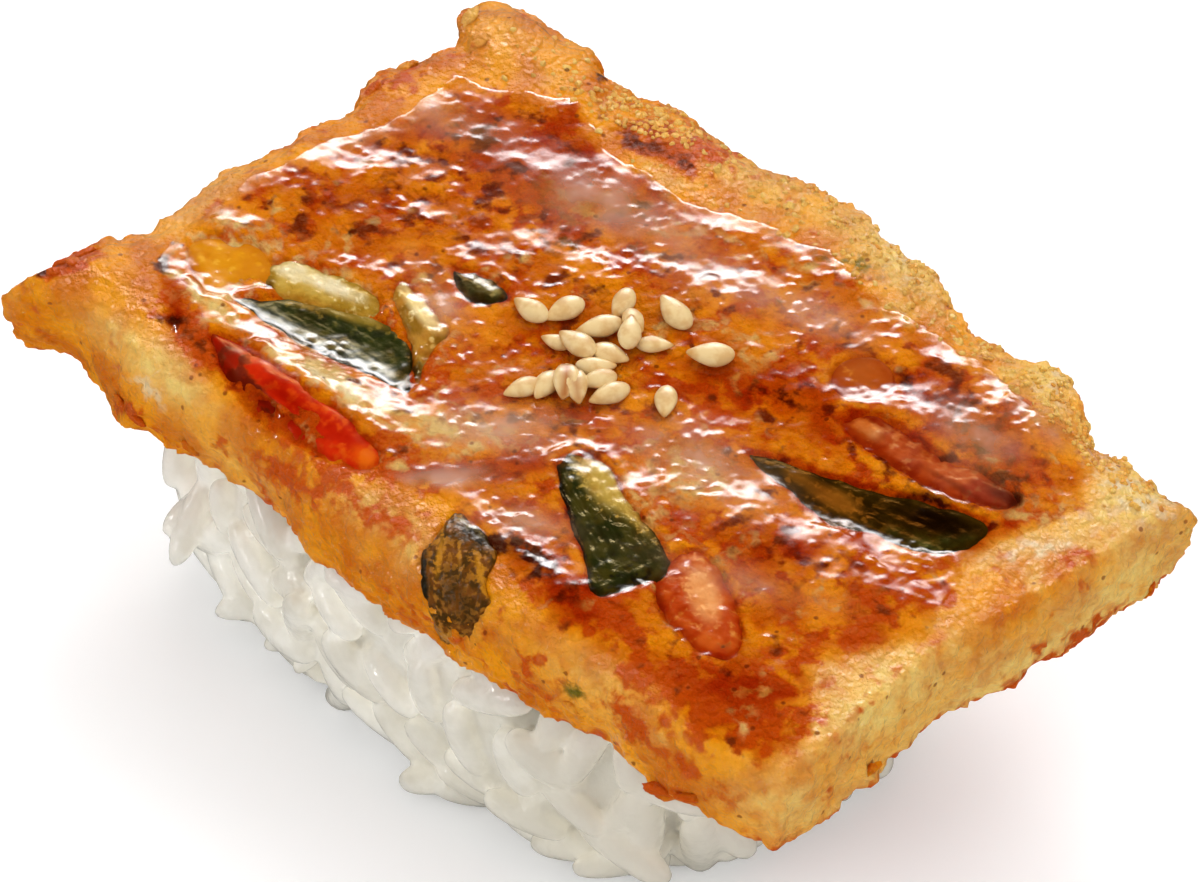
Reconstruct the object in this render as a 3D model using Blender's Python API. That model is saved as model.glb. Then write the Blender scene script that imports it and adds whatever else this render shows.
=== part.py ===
"""Nigiri sushi topped with a slab of vegetable pancake.

A pressed block of sushi rice carries a thick cut of fried vegetable pancake. The vegetables that show in
the pancake's top are pieces of their own, each in a pocket. Lengths are in metres, +Z is up, +X runs along
the sushi, and the origin is on the surface it stands on, under the middle of its bounding box.
"""

import math
from typing import NamedTuple

import bmesh
import bpy
from mathutils import Vector, noise

PIECE_GAP = 0.0003  # between neighbouring solids

# The rice block
RICE_LENGTH = 0.0535
RICE_WIDTH = 0.0360
RICE_HEIGHT = 0.0170
RICE_CENTRE = Vector((-0.0034, -0.0032, 0.0))
RICE_BULGE_HEIGHT = 0.0080  # where the block is widest
RICE_FOOT = 0.80  # width of its flat foot and top, as a share of its widest
RICE_PLAN_SQUARENESS = 3.6  # exponent of the superellipse seen from above
RICE_GRAIN_RELIEF = 0.0013  # how far clumps of grains stand in and out
RICE_CLUMP_SIZE = 0.0050
RICE_GRID = (22, 14, 8)

# The pancake slab
PANCAKE_BASE = RICE_HEIGHT + PIECE_GAP
PANCAKE_THICKNESS = 0.0080
PANCAKE_DROOP = 0.0008  # how far it hangs 10 mm beyond the rice
PANCAKE_UNEVENNESS = 0.00035
PANCAKE_LUMP_SIZE = 0.0065
PANCAKE_GRID = (30, 20, 6)
RIM_SQUARENESS = 2.1
RIM_REACH = 5.0  # higher keeps the rounding of the rim nearer to the edge

# How far the rim rounds inwards at the slab's upper and lower face, on each side
FRONT_RIM = (0.0036, 0.0012)
FAR_RIM = (0.0028, 0.0014)
LEFT_RIM = (0.0026, 0.0014)
RIGHT_RIM = (0.0010, 0.0018)

# The four edges of the pancake, from corner to corner, where each stands out farthest
FRONT_EDGE = (
    (-0.0362, -0.0235), (-0.0300, -0.0226), (-0.0240, -0.0227), (-0.0180, -0.0220), (-0.0125, -0.0212),
    (-0.0065, -0.0219), (0.0000, -0.0221), (0.0060, -0.0218), (0.0125, -0.0209), (0.0190, -0.0200),
    (0.0260, -0.0194), (0.0325, -0.0176),
)
RIGHT_EDGE = (
    (0.0325, -0.0176), (0.0327, -0.0120), (0.0323, -0.0050), (0.0329, 0.0015), (0.0337, 0.0080),
    (0.0341, 0.0140), (0.0343, 0.0196),
)
FAR_EDGE = (
    (-0.0338, 0.0200), (-0.0305, 0.0212), (-0.0265, 0.0214), (-0.0222, 0.0207), (-0.0180, 0.0219),
    (-0.0120, 0.0219), (-0.0075, 0.0223), (-0.0020, 0.0237), (0.0040, 0.0231), (0.0100, 0.0221),
    (0.0155, 0.0212), (0.0208, 0.0218), (0.0260, 0.0196), (0.0343, 0.0196),
)
LEFT_EDGE = (
    (-0.0362, -0.0235), (-0.0356, -0.0188), (-0.0337, -0.0135), (-0.0336, -0.0060), (-0.0330, 0.0000),
    (-0.0328, 0.0045), (-0.0337, 0.0090), (-0.0330, 0.0135), (-0.0338, 0.0200),
)


class Relief(NamedTuple):
    """A swelling of the pancake's top, or a hollow where its height is negative."""

    x: float
    y: float
    length: float
    width: float
    heading: float  # degrees, of its length
    height: float


TOP_RELIEF = (
    Relief(-0.0288, 0.0180, 0.0048, 0.0040, 20, 0.0016),  # knob of dough on the far left corner
    Relief(-0.0332, -0.0212, 0.0045, 0.0030, 60, 0.0009),  # curled left corner
    Relief(-0.0285, -0.0035, 0.0050, 0.0075, 0, 0.0007),  # left rim
    Relief(-0.0135, 0.0172, 0.0060, 0.0026, 8, 0.0009),  # browned ridge at the back
    Relief(-0.0170, -0.0112, 0.0085, 0.0028, 10, -0.0008),  # groove that the big leaf lies in
    Relief(-0.0265, -0.0170, 0.0050, 0.0020, 20, 0.0005),  # ridge between leaf and front rim
    Relief(-0.0120, -0.0165, 0.0090, 0.0016, 6, 0.0007),  # glazed ridge along the front
    Relief(-0.0030, 0.0070, 0.0120, 0.0080, 10, 0.0005),  # broad rise in the middle
    Relief(0.0135, -0.0050, 0.0060, 0.0045, 20, 0.0006),  # rise beside the folded leek
    Relief(0.0205, 0.0030, 0.0080, 0.0032, 14, -0.0011),  # pool at the right end
    Relief(0.0225, 0.0140, 0.0070, 0.0040, 0, 0.0004),  # rise behind the pool
    Relief(0.0325, 0.0020, 0.0022, 0.0085, 0, 0.0005),  # browned ridge over the right face
    Relief(0.0120, -0.0185, 0.0050, 0.0030, 0, 0.0006),  # bulge of the front rim
    Relief(0.0265, -0.0150, 0.0045, 0.0030, 0, -0.0004),  # dip near the front right corner
    Relief(0.0050, 0.0205, 0.0120, 0.0024, -4, 0.0005),  # far rim
)


class Vegetable(NamedTuple):
    """A slice that lies in the pancake's top, described in the plane of that top."""

    x: float
    y: float
    length: float
    widths: tuple  # at its start, middle and end
    heading: float  # degrees, from its start to its end
    bend: float  # sideways bow of its middle
    squareness: float  # of its ends: 2 is round
    thickness: float
    sink: float  # how far it lies below the pancake's top
    wraps_rim: bool
    colour: tuple


LEAF_GREEN = (0.020, 0.045, 0.012)
STEM_GREEN = (0.26, 0.24, 0.05)
PEPPER_RED = (0.48, 0.06, 0.015)
CARROT_ORANGE = (0.70, 0.24, 0.02)
SQUASH_YELLOW = (0.80, 0.42, 0.03)
PANCAKE_GOLD = (0.62, 0.30, 0.07)
RICE_WHITE = (0.80, 0.79, 0.74)

VEGETABLES = {
    "leaf_large": Vegetable(
        -0.0172, -0.0118, 0.0154, (0.0006, 0.0044, 0.0038), 10, 0.0003, 3.0, 0.0012, 0.0003, False, LEAF_GREEN
    ),
    "leek_stem": Vegetable(
        -0.0200, -0.0074, 0.0084, (0.0024, 0.0024, 0.0018), 16, 0.0003, 3.0, 0.0018, 0.0000, False, STEM_GREEN
    ),
    "leek_white": Vegetable(
        -0.0108, -0.0070, 0.0094, (0.0026, 0.0030, 0.0030), -25, 0.0004, 3.0, 0.0016, 0.0000, False, STEM_GREEN
    ),
    "leek_fold": Vegetable(
        0.0090, -0.0103, 0.0120, (0.0040, 0.0046, 0.0048), -27, 0.0006, 3.0, 0.0017, 0.0000, False, LEAF_GREEN
    ),
    "leaf_edge": Vegetable(
        0.0052, -0.0212, 0.0112, (0.0040, 0.0050, 0.0028), -80, -0.0003, 2.6, 0.0013, 0.0000, True, LEAF_GREEN
    ),
    "leaf_sunk": Vegetable(
        0.0190, 0.0038, 0.0158, (0.0018, 0.0036, 0.0046), 14, -0.0004, 2.6, 0.0012, 0.0001, False, LEAF_GREEN
    ),
    "leaf_far": Vegetable(
        -0.0117, -0.0012, 0.0066, (0.0036, 0.0030, 0.0016), 6, 0.0000, 2.6, 0.0012, 0.0001, False, LEAF_GREEN
    ),
    "carrot_disc": Vegetable(
        0.0110, 0.0118, 0.0046, (0.0046, 0.0046, 0.0046), 0, 0.0000, 2.0, 0.0018, 0.0002, False, CARROT_ORANGE
    ),
    "squash_cube": Vegetable(
        -0.0272, -0.0104, 0.0048, (0.0038, 0.0042, 0.0040), 12, 0.0000, 3.4, 0.0022, 0.0001, False, SQUASH_YELLOW
    ),
    "pepper_front": Vegetable(
        -0.0130, -0.0176, 0.0136, (0.0018, 0.0026, 0.0022), 2, 0.0004, 2.4, 0.0014, 0.0000, True, PEPPER_RED
    ),
    "pepper_right": Vegetable(
        0.0199, 0.0100, 0.0140, (0.0022, 0.0026, 0.0016), 5, 0.0006, 2.6, 0.0016, 0.0000, False, PEPPER_RED
    ),
    "pepper_near": Vegetable(
        0.0188, -0.0110, 0.0080, (0.0034, 0.0038, 0.0024), -18, 0.0003, 2.6, 0.0017, 0.0000, False, PEPPER_RED
    ),
}
SLICE_SIDES = 16
# Rows of a slice from the middle of its top to the middle of its underside: share of the outline, share
# of the thickness
SLICE_ROWS = ((0.0, 0.0), (0.5, 0.0), (0.9, 0.02), (1.0, 0.22), (0.96, 1.0), (0.5, 1.0), (0.0, 1.0))
POCKET_ROWS = ((0.0, 0.0), (0.5, 0.0), (1.0, 0.0), (1.0, 0.5), (1.0, 1.0), (0.5, 1.0), (0.0, 1.0))
POCKET_RISE = 0.0040  # how far a pocket's cutter stands out of the pancake


def clear_scene():
    """Removes whatever the scene holds."""
    for obj in list(bpy.data.objects):
        bpy.data.objects.remove(obj)


def new_collection(name):
    """A collection in the scene."""
    collection = bpy.data.collections.new(name)
    bpy.context.scene.collection.children.link(collection)
    return collection


def food_material(name, colour, roughness):
    """A Principled material of one colour."""
    material = bpy.data.materials.new(name)
    material.use_nodes = True
    shader = material.node_tree.nodes["Principled BSDF"]
    shader.inputs["Base Color"].default_value = (*colour, 1.0)
    shader.inputs["Roughness"].default_value = roughness
    shader.inputs["Metallic"].default_value = 0.0
    return material


def object_from(bm, name, collection, material):
    """A smooth-shaded object holding the bmesh."""
    mesh = bpy.data.meshes.new(name)
    bm.to_mesh(mesh)
    bm.free()
    mesh.shade_smooth()
    mesh.materials.append(material)
    obj = bpy.data.objects.new(name, mesh)
    collection.objects.link(obj)
    return obj


def divided_cube(divisions):
    """A cube from -1 to 1 whose faces are cut into a grid, with this many cells along X, Y and Z."""
    bm = bmesh.new()
    bmesh.ops.create_cube(bm, size=2.0)
    for axis, cells in enumerate(divisions):
        along = [edge for edge in bm.edges if abs(edge.verts[0].co[axis] - edge.verts[1].co[axis]) > 1.0]
        bmesh.ops.subdivide_edges(bm, edges=along, cuts=cells - 1, use_grid_fill=True)
    return bm


def eased(t):
    """t from -1 to 1, drawn towards both ends, so that a rounded rim gets more rows."""
    return math.sin(t * math.pi / 2)


def rounded(t, squareness):
    """How far a superellipse of radius 1 reaches outwards at height t, from 1 at 0 to 0 at 1."""
    return max(0.0, 1.0 - abs(t) ** squareness) ** (1.0 / squareness)


def along_edge(points, t):
    """The point at t, from 0 to 1, on a Catmull-Rom curve through an edge's points."""
    spans = len(points) - 1
    place = min(max(t, 0.0), 1.0) * spans
    i = min(int(place), spans - 1)
    s = place - i
    p1, p2 = Vector(points[i]), Vector(points[i + 1])
    p0 = Vector(points[i - 1]) if i > 0 else 2 * p1 - p2
    p3 = Vector(points[i + 2]) if i + 2 <= spans else 2 * p2 - p1
    bow = (2 * p0 - 5 * p1 + 4 * p2 - p3) * s**2 + (3 * p1 - p0 - 3 * p2 + p3) * s**3
    return 0.5 * (2 * p1 + (p2 - p0) * s + bow)


def slab_plan(u, v):
    """The point of the pancake's plan at u and v from 0 to 1, blended from its four edges."""
    front, far = along_edge(FRONT_EDGE, u), along_edge(FAR_EDGE, u)
    left, right = along_edge(LEFT_EDGE, v), along_edge(RIGHT_EDGE, v)
    near_corners = (1 - u) * Vector(FRONT_EDGE[0]) + u * Vector(FRONT_EDGE[-1])
    far_corners = (1 - u) * Vector(FAR_EDGE[0]) + u * Vector(FAR_EDGE[-1])
    return (1 - v) * (front - near_corners) + v * (far - far_corners) + (1 - u) * left + u * right


def droop(x, y):
    """How far the pancake hangs at a place: nothing over the rice, and more beyond it."""
    beyond_end = max(0.0, abs(x - RICE_CENTRE.x) - RICE_LENGTH / 2)
    beyond_side = max(0.0, abs(y - RICE_CENTRE.y) - RICE_WIDTH / 2)
    return PANCAKE_DROOP * (math.hypot(beyond_end, beyond_side) / 0.010) ** 1.5


def relief_at(x, y):
    """The height of all swellings and hollows of the top at a place."""
    height = 0.0
    for form in TOP_RELIEF:
        turn = math.radians(form.heading)
        along = (x - form.x) * math.cos(turn) + (y - form.y) * math.sin(turn)
        across = (y - form.y) * math.cos(turn) - (x - form.x) * math.sin(turn)
        height += form.height * math.exp(-((along / form.length) ** 2) - (across / form.width) ** 2)
    return height


def top_height(x, y):
    """The height of the pancake's top, leaving out the rounding of its rim."""
    lumps = PANCAKE_UNEVENNESS * noise.noise(Vector((x, y, 0.0)) / PANCAKE_LUMP_SIZE)
    return PANCAKE_BASE + PANCAKE_THICKNESS - droop(x, y) + relief_at(x, y) + lumps


def slab_point(corner):
    """Where a point of the divided cube lies on the pancake."""
    u, v, w = corner
    plan = slab_plan((u + 1) / 2, (v + 1) / 2)
    level = eased(w)
    lower = 0 if level > 0 else 1
    rounding = 1 - rounded(level, RIM_SQUARENESS)
    end_rim = RIGHT_RIM if u > 0 else LEFT_RIM
    side_rim = FAR_RIM if v > 0 else FRONT_RIM
    x = plan.x - math.copysign(abs(u) ** RIM_REACH, u) * end_rim[lower] * rounding
    y = plan.y - math.copysign(abs(v) ** RIM_REACH, v) * side_rim[lower] * rounding
    share = (level + 1) / 2
    underside = PANCAKE_BASE - droop(x, y)
    return Vector((x, y, underside * (1 - share) + top_height(x, y) * share))


def make_pancake(collection):
    """The pancake slab, without its pockets."""
    bm = divided_cube(PANCAKE_GRID)
    for vertex in bm.verts:
        vertex.co = slab_point(vertex.co)
    return object_from(bm, "pancake", collection, food_material("pancake", PANCAKE_GOLD, 0.3))


def rice_point(corner):
    """Where a point of the divided cube lies on the rice block."""
    u, v, w = corner
    longest = max(abs(u), abs(v))
    turn = (abs(u) ** RICE_PLAN_SQUARENESS + abs(v) ** RICE_PLAN_SQUARENESS) ** (1 / RICE_PLAN_SQUARENESS)
    squeeze = longest / turn if turn else 1.0
    rise = RICE_HEIGHT * (eased(w) + 1) / 2
    reach = RICE_BULGE_HEIGHT if rise < RICE_BULGE_HEIGHT else RICE_HEIGHT - RICE_BULGE_HEIGHT
    side = RICE_FOOT + (1 - RICE_FOOT) * rounded((rise - RICE_BULGE_HEIGHT) / reach, 2.2)
    place = Vector((u * squeeze * side * RICE_LENGTH / 2, v * squeeze * side * RICE_WIDTH / 2, rise))
    outward = Vector((place.x / RICE_LENGTH, place.y / RICE_WIDTH, 0.0))
    if outward.length > 0:
        near_side = min(1.0, max(0.0, 4 * longest - 3))
        clump = noise.noise(place / RICE_CLUMP_SIZE + Vector((7.0, 3.0, 1.0)))
        place += outward.normalized() * (RICE_GRAIN_RELIEF * clump * near_side)
    return place + RICE_CENTRE


def make_rice(collection):
    """The rice block, out to the uneven outline of its grains, with a flat foot and a flat top."""
    bm = divided_cube(RICE_GRID)
    for vertex in bm.verts:
        vertex.co = rice_point(vertex.co)
    return object_from(bm, "rice", collection, food_material("rice", RICE_WHITE, 0.35))


def outline_point(piece, angle, margin):
    """The point of a slice's outline in one direction from its middle, seen from above."""
    x, y = math.cos(angle), math.sin(angle)
    reach = (abs(x) ** piece.squareness + abs(y) ** piece.squareness) ** (-1 / piece.squareness)
    along, across = x * reach, y * reach
    start, middle, end = piece.widths
    width = middle + (end - start) / 2 * along + ((start + end) / 2 - middle) * along**2
    far = along * piece.length / 2 + margin * x
    aside = across * width / 2 + margin * y + piece.bend * (1 - along**2)
    turn = math.radians(piece.heading)
    return (
        piece.x + far * math.cos(turn) - aside * math.sin(turn),
        piece.y + far * math.sin(turn) + aside * math.cos(turn),
    )


def on_pancake(piece, x, y, depth):
    """The point at a depth under a place of the pancake's top, which a wrapping piece follows round the rim."""
    fall = piece.sink + depth
    rim_start = along_edge(FRONT_EDGE, (x - FRONT_EDGE[0][0]) / (FRONT_EDGE[-1][0] - FRONT_EDGE[0][0])).y
    rim_start += FRONT_RIM[0]
    if not piece.wraps_rim or y >= rim_start:
        return Vector((x, y, top_height(x, y) - fall))
    round_rim = (rim_start - y) / FRONT_RIM[0]
    out = FRONT_RIM[0] - fall
    height = top_height(x, rim_start) - FRONT_RIM[0] + out * math.cos(round_rim)
    return Vector((x, rim_start - out * math.sin(round_rim), height))


def slice_mesh(piece, rows, margin, top, bottom):
    """A bmesh of a slice between two depths, shaped from the rows of a sphere."""
    bm = bmesh.new()
    bands = len(rows) - 1
    bmesh.ops.create_uvsphere(bm, u_segments=SLICE_SIDES, v_segments=bands, radius=1.0)
    middle_x, middle_y = 0.0, 0.0
    for i in range(SLICE_SIDES):
        x, y = outline_point(piece, 2 * math.pi * i / SLICE_SIDES, margin)
        middle_x += x / SLICE_SIDES
        middle_y += y / SLICE_SIDES
    for vertex in bm.verts:
        row = round(math.acos(max(-1.0, min(1.0, vertex.co.z))) / math.pi * bands)
        ring, share = rows[row]
        x, y = outline_point(piece, math.atan2(vertex.co.y, vertex.co.x), margin)
        depth = top + (bottom - top) * share
        vertex.co = on_pancake(piece, middle_x + (x - middle_x) * ring, middle_y + (y - middle_y) * ring, depth)
    return bm


def make_vegetable(name, collection):
    """One vegetable slice."""
    piece = VEGETABLES[name]
    bm = slice_mesh(piece, SLICE_ROWS, 0.0, 0.0, piece.thickness)
    return object_from(bm, name, collection, food_material(name, piece.colour, 0.25))


def cut_pocket(pancake, name, cutters):
    """Cuts the pocket that a vegetable slice lies in, open at the pancake's top."""
    piece = VEGETABLES[name]
    bm = slice_mesh(piece, POCKET_ROWS, PIECE_GAP, -POCKET_RISE, piece.thickness + PIECE_GAP)
    cutter = object_from(bm, f"{name}_pocket", cutters, pancake.data.materials[0])
    cutter.hide_render = True
    cutter.display_type = "WIRE"
    cut = pancake.modifiers.new(f"pocket for {name}", "BOOLEAN")
    cut.operation = "DIFFERENCE"
    cut.solver = "EXACT"
    cut.object = cutter


def centring_shift(objects):
    """The move that brings the middle of the objects' shared bounding box over the origin."""
    corners = [vertex.co for obj in objects for vertex in obj.data.vertices]
    middle_x = (min(point.x for point in corners) + max(point.x for point in corners)) / 2
    middle_y = (min(point.y for point in corners) + max(point.y for point in corners)) / 2
    return Vector((-middle_x, -middle_y, 0.0))


def main():
    """Builds the rice, the pancake and its vegetable slices."""
    clear_scene()
    parts = new_collection("pancake_nigiri")
    cutters = new_collection("cutters")
    make_rice(parts)
    pancake = make_pancake(parts)
    for name in VEGETABLES:
        make_vegetable(name, parts)
        cut_pocket(pancake, name, cutters)
    shift = centring_shift(parts.objects)
    for obj in [*parts.objects, *cutters.objects]:
        obj.location += shift


main()
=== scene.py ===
import sys
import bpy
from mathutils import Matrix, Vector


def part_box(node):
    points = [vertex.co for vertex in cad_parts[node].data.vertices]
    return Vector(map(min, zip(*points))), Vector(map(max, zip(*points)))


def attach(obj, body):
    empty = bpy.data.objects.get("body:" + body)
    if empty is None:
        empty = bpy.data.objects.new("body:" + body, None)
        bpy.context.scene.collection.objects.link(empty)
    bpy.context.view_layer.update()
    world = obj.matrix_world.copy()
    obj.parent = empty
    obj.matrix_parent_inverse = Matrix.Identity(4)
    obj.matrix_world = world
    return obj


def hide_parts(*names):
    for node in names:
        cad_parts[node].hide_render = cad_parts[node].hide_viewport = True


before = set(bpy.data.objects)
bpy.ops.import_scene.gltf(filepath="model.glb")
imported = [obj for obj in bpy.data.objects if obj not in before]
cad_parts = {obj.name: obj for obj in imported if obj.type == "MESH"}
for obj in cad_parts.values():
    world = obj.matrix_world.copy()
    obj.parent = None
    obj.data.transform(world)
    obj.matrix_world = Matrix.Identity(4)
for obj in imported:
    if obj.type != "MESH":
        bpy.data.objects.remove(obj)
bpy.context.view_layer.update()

"""Looks of a nigiri sushi topped with a glazed slab of vegetable pancake.

The rice becomes real grains on a core, the pancake gets its fried crust, each vegetable slice its own skin,
and a film of glaze with sesame seeds lies over them. Meshes are in metres in the frame of the CAD parts.
"""

import itertools
import logging
import math
from collections.abc import Mapping
from dataclasses import dataclass, field
from enum import Enum
from functools import cache

import bmesh
import bpy
import numpy as np
from bpy.types import Camera, Light, Material, Mesh, Node, NodeSocket, NodeTree, Object
from mathutils import Matrix, Vector
from mathutils.bvhtree import BVHTree
from mathutils.kdtree import KDTree

logging.basicConfig(level=logging.INFO, format="%(message)s", stream=sys.stdout)
log = logging.getLogger("nigiri")

MM = 0.001
Array = np.ndarray
Colour = tuple[float, float, float]
Rows = tuple[tuple[float, ...], ...]


# ---- Numbers in space ----


def gradient_noise(points: Array, size: float, seed: int) -> Array:
    """Smooth noise in space.

    Args:
        points: Places, one a row.
        size: Width of one swelling of the noise.
        seed: Chooses the pattern.

    Returns:
        One value a point, mostly from -1 to 1.
    """
    random = np.random.default_rng(seed)
    directions = random.normal(size=(256, 3))
    directions /= np.linalg.norm(directions, axis=1, keepdims=True)
    order = random.permutation(256)
    scaled = points / size + 51.7 * seed
    cell = np.floor(scaled).astype(np.int64)
    part = scaled - cell
    ease = part**3 * (part * (part * 6 - 15) + 10)
    total = np.zeros(len(points))
    for corner in itertools.product((0, 1), repeat=3):
        near = cell + corner
        hashed = order[(order[(order[near[:, 0] & 255] + near[:, 1]) & 255] + near[:, 2]) & 255]
        slope = np.einsum("ij,ij->i", directions[hashed], part - corner)
        weight = np.prod(np.where(np.array(corner) == 1, ease, 1 - ease), axis=1)
        total += slope * weight
    return total * 1.7


def layered_noise(points: Array, size: float, seed: int, layers: int = 3) -> Array:
    """Several sizes of smooth noise added up, each half as wide and half as strong as the last.

    Args:
        points: Places, one a row.
        size: Width of the widest swelling.
        seed: Chooses the pattern.
        layers: How many sizes.

    Returns:
        One value a point, mostly from -1 to 1.
    """
    total = np.zeros(len(points))
    for layer in range(layers):
        total += gradient_noise(points, size / 2**layer, seed + 7 * layer) / 2**layer
    return total / 1.5


def cell_noise(points: Array, size: float, seed: int) -> tuple[Array, Array]:
    """Distance of each point to the nearest of many scattered cell middles.

    Args:
        points: Places, one a row.
        size: Mean distance between cell middles.
        seed: Chooses the pattern.

    Returns:
        The distance to the nearest middle as a share of size, and a random number of that cell.
    """
    random = np.random.default_rng(seed)
    jitter = random.random((4096, 3))
    shade = random.random(4096)
    scaled = points / size + 31.3 * seed
    cell = np.floor(scaled).astype(np.int64)
    best = np.full(len(points), 9.0)
    value = np.zeros(len(points))
    for step in itertools.product((-1, 0, 1), repeat=3):
        near = cell + step
        hashed = (near[:, 0] * 7919 + near[:, 1] * 104729 + near[:, 2] * 1299709) & 4095
        distance = np.linalg.norm(near + jitter[hashed] - scaled, axis=1)
        closer = distance < best
        best[closer] = distance[closer]
        value[closer] = shade[hashed[closer]]
    return best, value


def smooth_step(value: Array, low: float, high: float) -> Array:
    """0 below low, 1 above high and an S curve between them."""
    t = np.clip((value - low) / (high - low), 0.0, 1.0)
    return t * t * (3 - 2 * t)


def blurred(grid: Array, reach: float) -> Array:
    """A grid of numbers, blurred by a bell curve.

    Args:
        grid: The numbers.
        reach: Spread of the bell curve, in cells.

    Returns:
        The blurred grid, of the same size.
    """
    half = max(1, int(3 * reach))
    bell = np.exp(-0.5 * (np.arange(-half, half + 1) / reach) ** 2)
    bell /= bell.sum()
    padded = np.pad(grid, half, mode="edge")
    rows = np.apply_along_axis(lambda line: np.convolve(line, bell, mode="valid"), 0, padded)
    return np.apply_along_axis(lambda line: np.convolve(line, bell, mode="valid"), 1, rows)


# ---- Meshes ----


def points_of(mesh: Mesh) -> Array:
    """The vertices of a mesh, one a row.

    Args:
        mesh: The mesh.

    Returns:
        Their places.
    """
    points = np.empty(len(mesh.vertices) * 3, np.float32)
    mesh.vertices.foreach_get("co", points)
    return points.reshape(-1, 3).astype(float)


def normals_of(mesh: Mesh) -> Array:
    """The vertex normals of a mesh, one a row.

    Args:
        mesh: The mesh.

    Returns:
        The normals.
    """
    normals = np.empty(len(mesh.vertices) * 3, np.float32)
    mesh.vertex_normals.foreach_get("vector", normals)
    return normals.reshape(-1, 3).astype(float)


def set_points(mesh: Mesh, points: Array) -> None:
    """Moves the vertices of a mesh."""
    mesh.vertices.foreach_set("co", points.astype(np.float32).reshape(-1))
    mesh.update()


def set_field(mesh: Mesh, name: str, values: Array) -> None:
    """Stores one number a vertex, under a name that a material reads."""
    attribute = mesh.attributes.get(name) or mesh.attributes.new(name, "FLOAT", "POINT")
    attribute.data.foreach_set("value", values.astype(np.float32))


def relaxed(mesh: Mesh, points: Array, rounds: int) -> Array:
    """Points of a mesh, evened out without shrinking it.

    Args:
        mesh: Whose edges join the points.
        points: The points, one a row.
        rounds: How often they are evened out.

    Returns:
        The new points.
    """
    ends = np.empty(len(mesh.edges) * 2, np.int32)
    mesh.edges.foreach_get("vertices", ends)
    ends = ends.reshape(-1, 2)
    start, end = np.concatenate([ends[:, 0], ends[:, 1]]), np.concatenate([ends[:, 1], ends[:, 0]])
    count = np.bincount(start, minlength=len(points))[:, None]
    for pull in (0.55, -0.57) * rounds:
        mean = np.stack([np.bincount(start, points[end, axis], len(points)) for axis in range(3)], 1) / count
        points = points + pull * (mean - points)
    return points


def mesh_from(made: bmesh.types.BMesh, name: str) -> Mesh:
    """A mesh from one under construction.

    Args:
        made: The latter, which is freed.
        name: The new mesh's name.

    Returns:
        The new mesh.
    """
    mesh = bpy.data.meshes.new(name)
    made.to_mesh(mesh)
    made.free()
    return mesh


def modified(mesh: Mesh, kind: str, **settings: object) -> Mesh:
    """A mesh changed by a modifier.

    Args:
        mesh: The mesh, which is removed.
        kind: The modifier's type.
        settings: The modifier's properties.

    Returns:
        The new mesh, under the same name.
    """
    name = mesh.name
    holder = added(name, mesh)
    modifier = holder.modifiers.new(kind.lower(), kind)
    for setting, value in settings.items():
        setattr(modifier, setting, value)
    graph = bpy.context.evaluated_depsgraph_get()
    result = bpy.data.meshes.new_from_object(holder.evaluated_get(graph))
    bpy.data.objects.remove(holder)
    bpy.data.meshes.remove(mesh)
    result.name = name
    return result


def remeshed(meshes: list[Mesh], voxel: float, name: str) -> Mesh:
    """One closed skin round several closed meshes, made of small even squares.

    Args:
        meshes: The meshes, which may overlap.
        voxel: Side of the squares.
        name: Name of the new mesh.

    Returns:
        The new mesh.
    """
    joined = bmesh.new()
    for mesh in meshes:
        joined.from_mesh(mesh)
    return modified(mesh_from(joined, name), "REMESH", mode="VOXEL", voxel_size=voxel, adaptivity=0.0)


def thinned(mesh: Mesh, triangles: int) -> Mesh:
    """A mesh with fewer faces, which keeps most of them where it bends.

    Args:
        mesh: The full mesh, which is removed.
        triangles: How many are kept.

    Returns:
        The new mesh.
    """
    mesh.calc_loop_triangles()
    share = triangles / len(mesh.loop_triangles)
    return modified(mesh, "DECIMATE", ratio=share) if share < 1 else mesh


def tree_of(meshes: list[Mesh]) -> BVHTree:
    """A tree of faces that rays can be cast on.

    Args:
        meshes: The meshes that the rays may hit.

    Returns:
        The tree.
    """
    corners: list[list[float]] = []
    faces: list[list[int]] = []
    for mesh in meshes:
        mesh.calc_loop_triangles()
        triangles = np.empty(len(mesh.loop_triangles) * 3, np.int32)
        mesh.loop_triangles.foreach_get("vertices", triangles)
        faces.extend((triangles.reshape(-1, 3) + len(corners)).tolist())
        corners.extend(points_of(mesh).tolist())
    return BVHTree.FromPolygons(corners, faces, all_triangles=True)


def dropped(tree: BVHTree, across: Array, along: Array, start: float, reach: float) -> Array:
    """Heights at which rays that go straight down first hit something.

    Args:
        tree: What they may hit.
        across: X of each line of the grid.
        along: Y of each place in a line.
        start: Height that they start from.
        reach: How far they go.

    Returns:
        A grid of heights, nan where a ray hits nothing.
    """
    heights = np.full((len(across), len(along)), np.nan)
    for (i, x), (j, y) in itertools.product(enumerate(across), enumerate(along)):
        hit = tree.ray_cast(Vector((x, y, start)), Vector((0, 0, -1)), reach)[0]
        if hit is not None:
            heights[i, j] = hit.z
    return heights


def added(name: str, data: Mesh | Light | Camera) -> Object:
    """A new object in the scene.

    Args:
        name: Its name.
        data: What it shows.

    Returns:
        The object.
    """
    made = bpy.data.objects.new(name, data)
    bpy.context.scene.collection.objects.link(made)
    return made


def put(mesh: Mesh, name: str, material: Material) -> Object:
    """A smooth piece of the sushi.

    Args:
        mesh: Its mesh, in place.
        name: Its name.
        material: Its finish.

    Returns:
        The piece, which rides on the sushi.
    """
    mesh.shade_smooth()
    mesh.materials.clear()
    mesh.materials.append(material)
    piece = added(name, mesh)
    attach(piece, "root")
    log.info("%s: %d faces", name, len(mesh.polygons))
    return piece


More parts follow.
